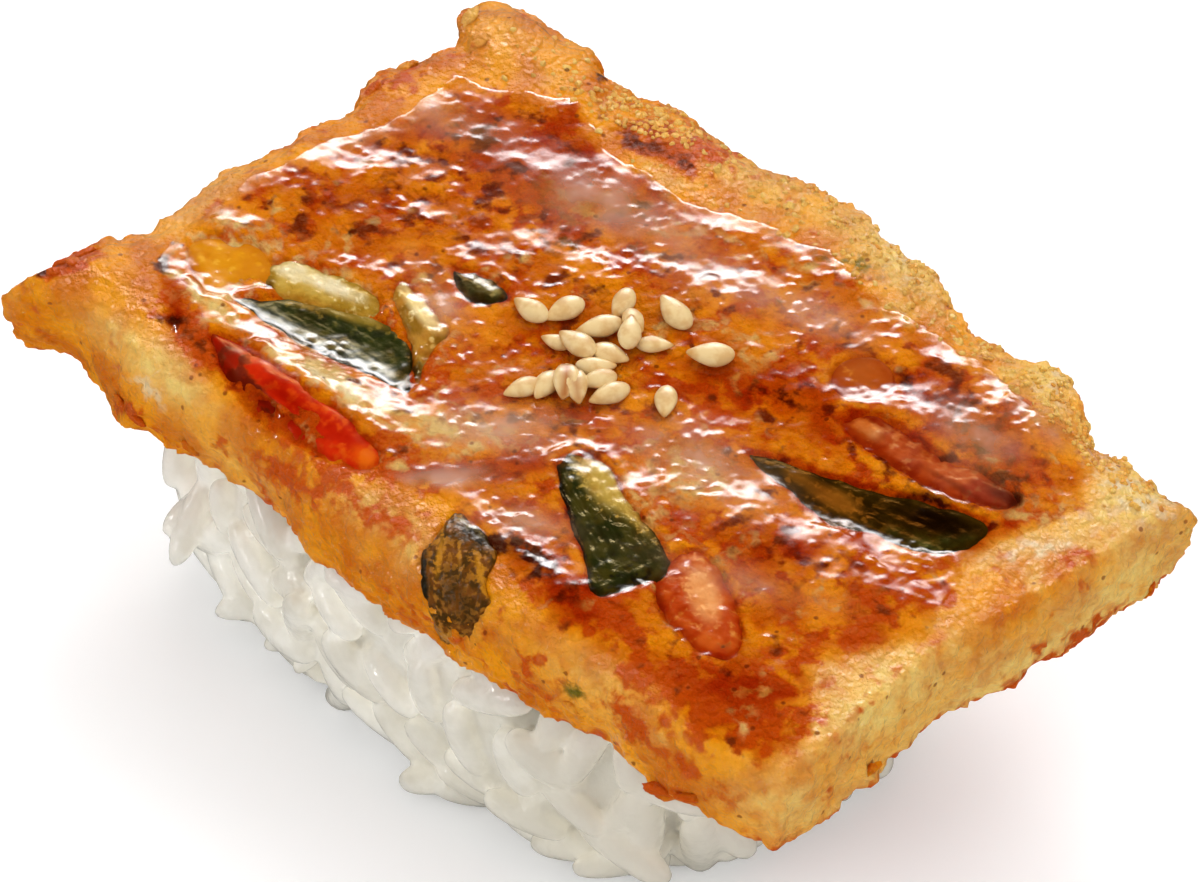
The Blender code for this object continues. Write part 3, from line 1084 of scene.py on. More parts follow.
PULLS = tuple(Pull(*row) for row in (
    (468, 14, 18, -0.9, 0.7), (456, 50, 13, 0.9, -0.3), (500, 6, 20, 0.0, 0.35), (592, 55, 20, 0.5, 0.6),
    (690, 108, 26, 0.5, 0.7), (640, 96, 12, -0.2, -0.3), (800, 178, 28, 0.3, 0.5), (862, 208, 22, 0.4, 0.6),
    (936, 272, 26, 0.7, 0.7), (980, 326, 18, -0.6, -0.5), (1058, 366, 34, 0.7, 0.9),
    (1108, 440, 18, -0.6, -0.5), (1190, 506, 20, 0.7, 0.3), (1186, 572, 26, -0.9, 0.2),
    (62, 362, 34, 0.5, 1.0), (48, 266, 26, 0.2, -0.5), (8, 298, 14, -0.6, 0.1), (104, 246, 12, 0.5, 0.4),
    (376, 82, 24, -0.5, 0.5), (312, 130, 24, -0.3, 0.5), (222, 174, 30, -0.4, 0.6),
    (120, 262, 14, 0.1, -0.5), (214, 468, 20, 0.1, 0.4), (132, 412, 12, -0.4, -0.5),
    (662, 796, 16, -0.3, -0.8), (600, 742, 20, 0.2, 0.5), (430, 640, 22, 0.2, 0.4),
    (1012, 690, 18, 0.3, -0.8), (1065, 660, 18, 0.3, -0.4), (955, 715, 18, -0.2, 0.4),
    (870, 778, 14, 0.3, -0.5), (776, 848, 14, 0.0, -0.2), (345, 590, 20, -0.3, -0.3),
))


def closed_curve(corners: Rows, count: int) -> Array:
    """A smooth closed curve through corners.

    Args:
        corners: The corners, going round.
        count: How many points of the curve are wanted.

    Returns:
        The points, one a row.
    """
    ends = np.array(corners, float)
    share = np.arange(count) / count * len(ends)
    first = share.astype(int)
    t = (share - first)[:, None]
    a, b, c, d = (ends[(first + step) % len(ends)] for step in (-1, 0, 1, 2))
    return 0.5 * (2 * b + (c - a) * t + (2 * a - 5 * b + 4 * c - d) * t**2 + (3 * b - a - 3 * c + d) * t**3)


def inside_distance(places: Array, edge: Array) -> Array:
    """How far places lie inside a closed outline, negative outside it.

    Args:
        places: Places in the plane, one a row.
        edge: The outline's corners, one a row.

    Returns:
        Distances, one a place.
    """
    nearest = np.full(len(places), 1e9)
    inside = np.zeros(len(places), bool)
    for start, end in zip(edge, np.roll(edge, -1, axis=0)):
        run = end - start
        offset = places - start
        share = np.clip(offset @ run / (run @ run), 0, 1)
        nearest = np.minimum(nearest, np.linalg.norm(offset - share[:, None] * run, axis=1))
        spans = (start[1] > places[:, 1]) != (end[1] > places[:, 1])
        rise = end[1] - start[1]
        crossing = start[0] + (places[:, 1] - start[1]) / (rise if rise else 1e-9) * run[0]
        inside ^= spans & (places[:, 0] < crossing)
    return np.where(inside, nearest, -nearest)


def glaze_distance(pixels: Array) -> Array:
    """How many pixels places of the view lie inside the edge of the glaze, negative outside it."""
    return inside_distance(pixels, np.array(GLAZE_EDGE))


@dataclass
class PancakeSlab:
    """The slab of fried batter."""

    voxel: float = 0.24 * MM
    triangles: int = 196_000
    filler_swell: float = 0.42 * MM
    filler_drop: float = 0.1 * MM
    level_step: float = 0.35 * MM
    level_reach: float = 0.95 * MM
    lump: float = 0.26 * MM
    lump_size: float = 3.8 * MM
    knob_size: float = 1.5 * MM
    crumb: float = 0.26 * MM
    crumb_size: float = 0.95 * MM
    grit_size: float = 0.55 * MM
    frill: float = 0.85 * MM
    frill_size: float = 4.5 * MM
    growth: float = 0.25 * MM
    pocket: float = 0.34 * MM
    lip: float = 0.14 * MM
    hollow: float = 0.75 * MM
    swelling: float = 0.45 * MM
    smooth: BVHTree | None = None
    finish: BatterFinish = field(default_factory=BatterFinish)

    def healed(self, slices: list[str]) -> Mesh:
        """The slab with its pockets filled to just under their rims.

        Args:
            slices: The vegetable nodes that lie in the pockets.

        Returns:
            Its closed skin.
        """
        meshes = [cad_mesh("pancake")]
        for node in slices:
            filler = cad_mesh(node)
            points = points_of(filler) + normals_of(filler) * self.filler_swell
            points[:, 2] -= self.filler_drop
            set_points(filler, points)
            meshes.append(filler)
        return remeshed(meshes, self.voxel, "pancake_batter")

    def levelled(self, mesh: Mesh) -> Array:
        """The points of the healed slab with the dents of its pockets taken out of the top.

        Args:
            mesh: The healed slab.

        Returns:
            Its points, one a row.
        """
        points = relaxed(mesh, points_of(mesh), 12)
        set_points(mesh, points)
        tree = tree_of([mesh])
        low, high = points.min(axis=0), points.max(axis=0)
        across = np.arange(low[0] - MM, high[0] + MM, self.level_step)
        along = np.arange(low[1] - MM, high[1] + MM, self.level_step)
        heights = np.nan_to_num(dropped(tree, across, along, high[2] + MM, 100 * MM))
        solid = (heights > 0).astype(float)
        reach = self.level_reach / self.level_step
        weight = blurred(solid, reach)
        change = np.where(solid > 0, blurred(heights, reach) / np.maximum(weight, 1e-6) - heights, 0.0)
        change *= smooth_step(weight, 0.8, 0.97)
        i = np.clip(((points[:, 0] - across[0]) / self.level_step).astype(int), 0, len(across) - 2)
        j = np.clip(((points[:, 1] - along[0]) / self.level_step).astype(int), 0, len(along) - 2)
        u = (points[:, 0] - across[i]) / self.level_step
        v = (points[:, 1] - along[j]) / self.level_step
        near = (1 - u) * change[i, j] + u * change[i + 1, j]
        far = (1 - u) * change[i, j + 1] + u * change[i + 1, j + 1]
        points[:, 2] += ((1 - v) * near + v * far) * (normals_of(mesh)[:, 2] > 0.0)
        return relaxed(mesh, points, 10)

    def shaped(self, mesh: Mesh) -> None:
        """Gives the skin its lumps, crumbs and frills.

        Args:
            mesh: The healed slab, which is changed.
        """
        points = self.levelled(mesh)
        set_points(mesh, points)
        normals = normals_of(mesh)
        pixels = VIEW.pixels(points)
        low, high = points.min(axis=0), points.max(axis=0)
        upward = smooth_step(normals[:, 2], 0.2, 0.8)
        sideways = smooth_step(np.linalg.norm(normals[:, :2], axis=1), 0.5, 0.9)
        crumbly = covered(PATCHES[Tint.CRUMBLY], pixels)
        base = np.median(points[normals[:, 2] < -0.9, 2])
        foot = np.exp(-(((points[:, 2] - base - 0.7 * MM) / (0.8 * MM)) ** 2)) * sideways
        self.smooth = tree_of([mesh])
        push = self.lump * layered_noise(points, self.lump_size, 3, 2)
        push += 0.55 * self.lump * layered_noise(points, self.knob_size, 5, 2)
        near, shade = cell_noise(points, self.crumb_size, 8)
        grains = smooth_step(0.8 - near, 0.0, 0.55) * (0.35 + 0.65 * shade)
        push += self.crumb * grains * (0.25 + 1.2 * crumbly + 0.8 * sideways)
        near, shade = cell_noise(points, self.grit_size, 9)
        grains = smooth_step(0.7 - near, 0.0, 0.5) * smooth_step(shade, 0.3, 1.0)
        push += 0.5 * self.crumb * grains * (0.5 + 0.9 * crumbly + 1.0 * sideways)
        frill = np.clip(layered_noise(points, self.frill_size, 17, 4) + 0.05, 0, 1)
        depth = 0.2 + 0.8 * np.maximum(upward, sideways)
        points = points + normals * (push * depth)[:, None]
        outward = normals * np.array([1.0, 1.0, 0.15])
        points = points + outward * (self.frill * frill * foot)[:, None]
        points[:, 2] -= 0.5 * self.frill * frill * foot
        points[:, 2] -= upward * (self.hollow * covered(PATCHES[Tint.SUNKEN], pixels))
        points[:, 2] += upward * (self.swelling * covered(PATCHES[Tint.RAISED], pixels))
        for piece in SLICES:
            inside = inside_distance(pixels, closed_curve(piece.outline, 48)) / PIXELS_PER_MM
            points[:, 2] -= upward * self.pocket * smooth_step(inside, -0.15, 0.35)
            ragged = 0.5 + 0.8 * layered_noise(points, 1.4 * MM, 71)
            points[:, 2] += upward * self.lip * ragged * np.exp(-(((inside + 0.45) / 0.4) ** 2))
        points = np.clip(points, low - self.growth, high + self.growth)
        points += sum(pull.moved(pixels) for pull in PULLS)
        set_points(mesh, points)

    def tinted(self, mesh: Mesh) -> None:
        """Stores where the batter is pale, browned, blackened, green and oily, and where a shadow is painted
        on it.

        Args:
            mesh: The shaped slab.
        """
        points, normals = points_of(mesh), normals_of(mesh)
        pixels = VIEW.pixels(points)
        facing = smooth_step(normals @ VIEW.axes[2], -0.05, 0.3)
        sideways = smooth_step(np.linalg.norm(normals[:, :2], axis=1), 0.55, 0.95)
        uneven = layered_noise(points, 3.0 * MM, 23)
        fine = layered_noise(points, 1.1 * MM, 29)
        base = np.median(points[normals[:, 2] < -0.9, 2])
        foot = np.exp(-(((points[:, 2] - base) / (0.9 * MM)) ** 2))
        underside = smooth_step(-normals[:, 2], 0.5, 0.9)
        hidden_pale = 0.55 * sideways * smooth_step(uneven, -0.6, 0.5)
        soft = smooth_step(layered_noise(points, 3.4 * MM, 67), 0.05, 0.6)
        fried = smooth_step(layered_noise(points, 2.0 * MM, 73), 0.12, 0.6)
        soft *= 0.1 + 0.45 * smooth_step(pixels[:, 0], 400, 900)
        pale = facing * np.maximum(covered(PATCHES[Tint.PALE], pixels), soft) + (1 - facing) * hidden_pale
        browned = covered(PATCHES[Tint.BROWNED], pixels) * facing + foot * (0.45 + 0.5 * fine)
        browned += 0.45 * fried * (1 - soft)
        browned += underside * (0.55 + 0.5 * uneven)
        browned += (1 - facing) * 0.3 * smooth_step(uneven, 0.0, 0.6)
        # Blackened marks, dark smears and a painted shadow beside the carrot
        char_and_shadow = covered(PATCHES[Tint.CHAR_AND_SHADOW], pixels) * facing
        char_and_shadow += underside * smooth_step(uneven, 0.2, 0.9) * 0.5
        glazed = smooth_step(glaze_distance(pixels), -10.0, 14.0) * smooth_step(normals[:, 2], -0.1, 0.3)
        mottled = smooth_step(uneven + 0.5 * fine, -0.45, 0.55)
        darkened = smooth_step(layered_noise(points, 2.2 * MM, 61) + 0.4 * fine, 0.05, 0.75)
        deepened = covered(PATCHES[Tint.DEEPENED], pixels) * facing
        light = smooth_step(layered_noise(points, 3.0 * MM, 79) + 0.4 * fine, 0.12, 0.75)
        leafy = smooth_step(layered_noise(points, 3.2 * MM, 83) + 0.3 * fine, 0.3, 0.8)
        crumbly = covered(PATCHES[Tint.CRUMBLY], pixels)
        level = smooth_step(normals[:, 2], 0.6, 0.95)
        oily = (1 - glazed) * (1 - 0.85 * crumbly) * smooth_step(normals[:, 2], -0.6, 0.2)
        dark_batter = np.clip(np.maximum(char_and_shadow, deepened), 0, 1)
        for name, values in (
            ("pale", pale * (1 - 0.75 * glazed) * (1 + 0.5 * fine)),
            ("browned", browned + 0.75 * glazed * mottled),
            ("deepened", 0.8 * glazed * darkened + deepened * (0.8 + 0.5 * fine)),
            ("char_and_shadow", char_and_shadow),
            ("creamy", np.maximum(covered(PATCHES[Tint.CREAMY], pixels) * facing, 0.6 * glazed * light)),
            ("green", np.maximum(covered(PATCHES[Tint.GREEN], pixels) * facing, 0.4 * glazed * leafy)),
            ("oily", oily * (1 - 0.3 * level) * (1 - 0.8 * dark_batter)),
        ):
            set_field(mesh, name, np.clip(values, 0, 1))

    def build(self, slices: list[str]) -> Object:
        """Makes the slab.

        Args:
            slices: The vegetable nodes that lie in its pockets.

        Returns:
            The piece that stands for the pancake node.
        """
        mesh = self.healed(slices)
        self.shaped(mesh)
        mesh = thinned(mesh, self.triangles)
        self.tinted(mesh)
        piece = put(mesh, "pancake_batter", self.finish.material())
        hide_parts("pancake")
        return piece


@dataclass
class VegetableSlice:
    """One slice of vegetable in the top of the slab, with its outline in the view."""

    node: str
    finish: SliceFinish
    outline: Rows
    rise: float = 0.05  # millimetres above the batter
    edge: float = 0.7  # millimetres over which the rim is rounded
    dish: float = 0.0  # millimetres that the middle dips
    wrinkle: float = 0.08  # millimetres
    wrinkle_size: float = 1.6  # millimetres
    fibre: float | None = None  # degrees in the view, along which it is streaked
    fibre_relief: float = 0.07  # millimetres
    darks: Rows = ()  # dark and light places, as rows of a patch; on two leek slices a light place is a painted highlight
    lights: Rows = ()
    rings: int = 26
    sectors: int = 110
    root: float = 0.8  # millimetres that it reaches into the batter
    overlap: float = 0.1  # millimetres that batter creeps over the rim
    ragged: float = 3.5  # pixels that its rim wanders
    ragged_size: float = 22.0  # pixels

    def build(self, smooth: BVHTree, seed: int) -> Object:
        """Makes the slice.

        Args:
            smooth: The slab's even surface, which carries the slice.
            seed: Chooses its wrinkles.

        Returns:
            The piece that stands for its node.
        """
        rim = closed_curve(self.outline, self.sectors)
        middle = rim.mean(axis=0)
        rough = layered_noise(np.column_stack([rim, np.zeros(self.sectors)]), self.ragged_size, seed + 9)
        outward = (rim - middle) / np.linalg.norm(rim - middle, axis=1, keepdims=True)
        rim = rim + outward * (self.ragged * rough)[:, None]
        shares = np.concatenate([[0.0], (np.arange(1, self.rings + 1) / self.rings) ** 0.8])
        pixels = np.concatenate([middle[None]] + [middle + share * (rim - middle) for share in shares[1:]])
        hits = [smooth.ray_cast(*VIEW.ray(x, y))[:2] for x, y in pixels]
        spots = np.array([tuple(spot) for spot, _ in hits])
        normals = np.array([tuple(normal.lerp(Vector((0, 0, 1)), 0.3).normalized()) for _, normal in hits])
        inside = np.clip(inside_distance(pixels, rim) / PIXELS_PER_MM, 0, None)
        rounding = np.sqrt(1 - (1 - np.clip(inside / self.edge, 0, 1)) ** 2)
        height = -0.35 + (0.35 + self.rise) * rounding - self.dish * smooth_step(inside, 0, 1.4)
        height += self.wrinkle * rounding * layered_noise(spots, self.wrinkle_size * MM, seed)
        creeping = 0.5 + layered_noise(spots, 2 * MM, seed + 6)
        height -= self.overlap * (1 - smooth_step(inside, 0.0, 1.2)) * creeping
        height += 0.3 * self.wrinkle * rounding * layered_noise(spots, 0.5 * MM, seed + 1, 2)
        if self.fibre is not None:
            height += self.fibre_relief * rounding * self.streaks(pixels, seed)
        top = spots + normals * (height * MM)[:, None]
        bottom = (spots - normals * (self.root * MM))[: 1 + self.sectors * (self.rings - 1)]
        mesh = self.closed_pad(top, bottom)
        for name, rows in (("dark", self.darks), ("light", self.lights)):
            share = covered(rows, pixels)
            set_field(mesh, name, np.concatenate([share, share[: len(bottom)]]))
        piece = put(mesh, f"{self.node}_skin", self.finish.material())
        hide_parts(self.node)
        return piece

    def streaks(self, pixels: Array, seed: int) -> Array:
        """Fibres of a leaf as heights from -1 to 1.

        Args:
            pixels: Places in the view, one a row.
            seed: Chooses the pattern.

        Returns:
            One height a place.
        """
        turn = math.radians(self.fibre or 0.0)
        along = pixels @ np.array([math.cos(turn), math.sin(turn)])
        aside = pixels @ np.array([-math.sin(turn), math.cos(turn)])
        flat = np.stack([along / 42, aside / 5.5, np.zeros(len(pixels))], axis=1)
        return gradient_noise(flat, 1.0, seed + 3) + 0.5 * gradient_noise(flat, 0.45, seed + 4)

    def closed_pad(self, top: Array, bottom: Array) -> Mesh:
        """Joins an upper and a lower disc of points.

        Args:
            top: The middle point and then ring after ring of the upper side.
            bottom: The same of the lower side, without its last ring.

        Returns:
            The closed mesh.
        """
        n = self.sectors
        faces: list[tuple[int, ...]] = []
        for start, rings, down in ((0, self.rings, False), (len(top), self.rings - 1, True)):
            for j in range(n):
                k = (j + 1) % n
                fan = (start, start + 1 + j, start + 1 + k)
                faces.append(fan[::-1] if down else fan)
                for ring in range(rings - 1):
                    a, b = start + 1 + ring * n, start + 1 + (ring + 1) * n
                    quad = (a + j, b + j, b + k, a + k)
                    faces.append(quad[::-1] if down else quad)
        outer, lower = 1 + (self.rings - 1) * n, len(top) + 1 + (self.rings - 2) * n
        faces.extend((outer + (j + 1) % n, outer + j, lower + j, lower + (j + 1) % n) for j in range(n))
        mesh = bpy.data.meshes.new(f"{self.node}_skin")
        mesh.from_pydata(np.concatenate([top, bottom]).tolist(), [], faces)
        fixed = bmesh.new()
        fixed.from_mesh(mesh)
        bmesh.ops.recalc_face_normals(fixed, faces=fixed.faces)
        fixed.to_mesh(mesh)
        fixed.free()
        mesh.update()
        return mesh


LEAF = SliceFinish(
    "leaf_green", (0.024, 0.04, 0.012), (0.012, 0.022, 0.009), (0.055, 0.07, 0.018),
    dark=(0.006, 0.009, 0.004), light=(0.26, 0.2, 0.04), third_share=0.3,
)
# Its light colour is the stem's pale skin and also a painted highlight along its top
STEM = SliceFinish(
    "leek_stem", (0.56, 0.38, 0.09), (0.4, 0.25, 0.04), (0.74, 0.6, 0.3),
    dark=(0.12, 0.055, 0.006), light=(0.8, 0.7, 0.5), inner_light=0.4, roughness=0.16, relief=0.00025,
)
# Its light colour is pale skin and also a painted highlight along the ridge
WHITE_LEEK = SliceFinish(
    "leek_white", (0.5, 0.28, 0.07), (0.28, 0.15, 0.02), (0.68, 0.48, 0.2),
    dark=(0.06, 0.035, 0.006), light=(0.9, 0.82, 0.66), inner_light=0.4, roughness=0.2,
)
FOLD = SliceFinish(
    "leek_fold", (0.018, 0.026, 0.007), (0.048, 0.048, 0.01), (0.01, 0.013, 0.004),
    dark=(0.004, 0.003, 0.002), light=(0.52, 0.4, 0.13), mottle=0.0014, roughness=0.2, relief=0.00012,
)
BROWN_LEAF = SliceFinish(
    "leaf_edge", (0.15, 0.044, 0.001), (0.06, 0.024, 0.001), (0.34, 0.12, 0.002),
    dark=(0.014, 0.008, 0.001), light=(0.46, 0.18, 0.003), mottle=0.0012, third_share=0.4,
    roughness=0.3, relief=0.00018,
)
SUNK_LEAF = SliceFinish(
    "leaf_sunk", (0.06, 0.085, 0.022), (0.03, 0.042, 0.01), (0.13, 0.16, 0.06),
    dark=(0.01, 0.01, 0.004), light=(0.4, 0.42, 0.26), mottle=0.0018,
)
FAR_LEAF = SliceFinish(
    "leaf_far", (0.03, 0.032, 0.01), (0.07, 0.055, 0.014), (0.1, 0.09, 0.04),
    dark=(0.008, 0.01, 0.004), light=(0.25, 0.24, 0.12),
)
CARROT = SliceFinish(
    "carrot", (0.46, 0.092, 0.001), (0.42, 0.082, 0.001), (0.5, 0.11, 0.001),
    dark=(0.3, 0.05, 0.002), light=(0.8, 0.34, 0.03), inner_light=0.3, relief=0.00003,
)
SQUASH = SliceFinish(
    "squash", (0.7, 0.28, 0.001), (0.64, 0.23, 0.001), (0.74, 0.34, 0.002),
    dark=(0.5, 0.15, 0.002), light=(0.92, 0.56, 0.06), inner_light=0.3, relief=0.00003,
)
PEPPER = SliceFinish(
    "pepper", (0.62, 0.12, 0.02), (0.5, 0.06, 0.008), (0.66, 0.24, 0.05),
    dark=(0.16, 0.012, 0.003), light=(0.86, 0.42, 0.26), inner_light=0.3,
)
DULL_PEPPER = SliceFinish(
    "pepper_dull", (0.52, 0.11, 0.045), (0.34, 0.042, 0.024), (0.62, 0.22, 0.12),
    dark=(0.11, 0.008, 0.004), light=(0.72, 0.34, 0.2), inner_light=0.25, mottle=0.0026, third_share=0.3,
)
DEEP_PEPPER = SliceFinish(
    "pepper_deep", (0.74, 0.03, 0.001), (0.56, 0.014, 0.001), (0.76, 0.075, 0.002),
    dark=(0.18, 0.007, 0.001), light=(0.82, 0.16, 0.002), inner_light=0.3, mottle=0.0034,
    third_share=0.4, relief=0.00005,
)

SLICES: tuple[VegetableSlice, ...] = (
    VegetableSlice(
        "leaf_large", LEAF,
        ((228, 297), (256, 294), (290, 296), (325, 302), (360, 312), (392, 322), (409, 345), (413, 370),
         (410, 393), (390, 386), (360, 370), (325, 354), (288, 337), (254, 315)),
        rise=0.0, dish=0.06, wrinkle=0.06, fibre=30, fibre_relief=0.03, overlap=0.14,
        darks=((395, 385, 26, 6, 28, 0.8), (250, 305, 20, 5, 30, 0.6)),
        lights=((350, 312, 56, 11, 20), (300, 305, 30, 7, 10, 0.5)),
    ),
    VegetableSlice(
        "leek_stem", STEM,
        ((264, 284), (270, 266), (290, 258), (318, 266), (350, 278), (378, 296), (384, 314), (362, 318),
         (328, 308), (290, 300)),
        rise=0.0, edge=0.6, wrinkle=0.16, wrinkle_size=0.9, fibre=24, fibre_relief=0.03, ragged=7.0,
        ragged_size=14.0, overlap=0.18,
        darks=((268, 286, 9, 14, 20, 0.9),),
        # Light places: the pale top of the stem, the longer one also a painted highlight
        lights=((324, 282, 56, 11, 24), (290, 270, 16, 10, 10)),
    ),
    VegetableSlice(
        "leek_white", WHITE_LEEK,
        ((391, 298), (402, 280), (420, 292), (440, 314), (450, 332), (436, 346), (426, 366), (418, 388),
         (412, 372), (408, 345), (399, 320)),
        rise=0.08, edge=0.55, wrinkle=0.14, wrinkle_size=0.9, fibre=62, fibre_relief=0.04, ragged=7.0,
        ragged_size=14.0, overlap=0.16,
        darks=((416, 372, 12, 12, 60, 0.9), (402, 330, 30, 4, 62, 0.6)),
        # Light place: a painted highlight along the ridge, on its pale skin
        lights=((420, 308, 36, 11, 52),),
    ),
    VegetableSlice(
        "leek_fold", FOLD,
        ((556, 462), (572, 452), (598, 456), (618, 476), (628, 500), (652, 526), (670, 558), (664, 578),
         (640, 587), (612, 597), (592, 592), (582, 556), (570, 520), (559, 490)),
        rise=0.1, edge=0.5, wrinkle=0.12, wrinkle_size=0.7, fibre=60, fibre_relief=0.05, ragged=6.0,
        ragged_size=14.0,
        darks=((570, 520, 80, 7, 74), (630, 578, 36, 9, 0, 0.6), (606, 540, 30, 6, 60, 0.5)),
        lights=((604, 484, 44, 22, 50), (634, 516, 36, 8, 52, 0.7)),
    ),
    VegetableSlice(
        "leaf_edge", BROWN_LEAF,
        ((430, 540), (441, 524), (456, 512), (474, 520), (489, 536), (497, 556), (487, 580), (490, 600),
         (481, 618), (476, 634), (483, 651), (470, 648), (457, 640), (446, 646), (433, 628), (424, 600),
         (418, 574), (421, 556)),
        rise=0.15, edge=0.45, wrinkle=0.1, wrinkle_size=0.8, fibre=88, fibre_relief=0.1, ragged=5.0,
        ragged_size=12.0, overlap=0.08,
        darks=((424, 585, 60, 5, 88), (458, 596, 34, 16, 70, 0.5), (480, 536, 30, 14, 20, 0.8)),
        lights=(
            (458, 640, 22, 6, 20), (480, 572, 30, 5, 78, 0.8), (440, 556, 30, 5, 96, 0.8),
            (460, 560, 26, 4, 88, 0.6),
        ),
    ),
    VegetableSlice(
        "leaf_sunk", SUNK_LEAF,
        ((742, 450), (775, 456), (808, 468), (846, 478), (885, 490), (925, 497), (965, 510), (990, 526),
         (972, 545), (935, 552), (900, 545), (872, 530), (838, 528), (808, 508), (775, 480)),
        rise=-0.1, dish=0.1, wrinkle=0.14, fibre=25, fibre_relief=0.05, ragged=7.0, ragged_size=18.0,
        darks=((936, 520, 54, 18, 12),),
        lights=((836, 498, 36, 14, 25, 0.9), (796, 474, 22, 8, 25, 0.7)),
    ),
    VegetableSlice(
        "leaf_far", FAR_LEAF,
        ((449, 264), (462, 268), (480, 272), (500, 282), (510, 296), (496, 303), (478, 306), (464, 300),
         (454, 284)),
        rise=0.1, overlap=0.22, ragged=5.0, ragged_size=12.0,
        darks=((456, 278, 8, 16, -20),),
        lights=((492, 292, 16, 8, 20, 0.6),),
    ),
    VegetableSlice(
        "carrot_disc", CARROT,
        ((829, 377), (838, 361), (856, 354), (876, 355), (892, 366), (895, 381), (886, 395), (868, 402),
         (848, 399), (834, 390)),
        rise=-0.2, edge=0.25, wrinkle=0.015, ragged=0.6, overlap=0.0,
        lights=((850, 370, 20, 12, 0, 0.4),),
    ),
    VegetableSlice(
        "squash_cube", SQUASH,
        ((186, 258), (192, 240), (216, 232), (244, 236), (266, 250), (276, 266), (268, 286), (244, 290),
         (222, 296), (200, 286)),
        rise=-0.12, edge=0.9, wrinkle=0.04, ragged=7.0, overlap=0.16,
        darks=((262, 284, 14, 8, -40, 0.4),),
        lights=((220, 255, 22, 10, 20, 0.4),),
    ),
    VegetableSlice(
        "pepper_front", DEEP_PEPPER,
        ((208, 330), (240, 340), (272, 360), (305, 382), (338, 406), (368, 434), (382, 462), (350, 470),
         (318, 458), (284, 438), (246, 410), (220, 372)),
        rise=-0.02, edge=1.3, wrinkle=0.07, overlap=0.14, ragged=8.0, ragged_size=26.0,
        darks=((258, 396, 60, 12, 40, 0.8), (228, 350, 26, 18, 30, 0.75)),
        lights=((368, 458, 28, 16, 30, 0.75), (300, 385, 60, 5, 38, 0.5)),
    ),
    VegetableSlice(
        "pepper_right", DULL_PEPPER,
        ((838, 420), (860, 410), (884, 414), (912, 430), (940, 450), (974, 464), (1000, 480), (1022, 498),
         (1004, 508), (976, 506), (945, 497), (905, 476), (866, 450)),
        rise=-0.02, edge=1.3, wrinkle=0.16, wrinkle_size=1.1, overlap=0.3, ragged=10.0, ragged_size=18.0,
        darks=((1008, 497, 36, 12, 25, 0.9), (950, 482, 60, 5, 30, 0.6)),
        lights=((866, 428, 26, 12, 34, 0.9),),
    ),
    VegetableSlice(
        "pepper_near", PEPPER,
        ((652, 592), (662, 566), (684, 548), (710, 556), (730, 582), (740, 612), (744, 640), (728, 660),
         (700, 654), (676, 632), (658, 612)),
        rise=0.1, wrinkle=0.14, wrinkle_size=0.9, overlap=0.24, ragged=7.0, ragged_size=14.0,
        darks=((724, 648, 18, 8, 0, 0.5), (660, 600, 8, 20, -20, 0.6)),
        lights=((704, 596, 20, 36, -20),),
    ),
)


# ---- The glaze ----


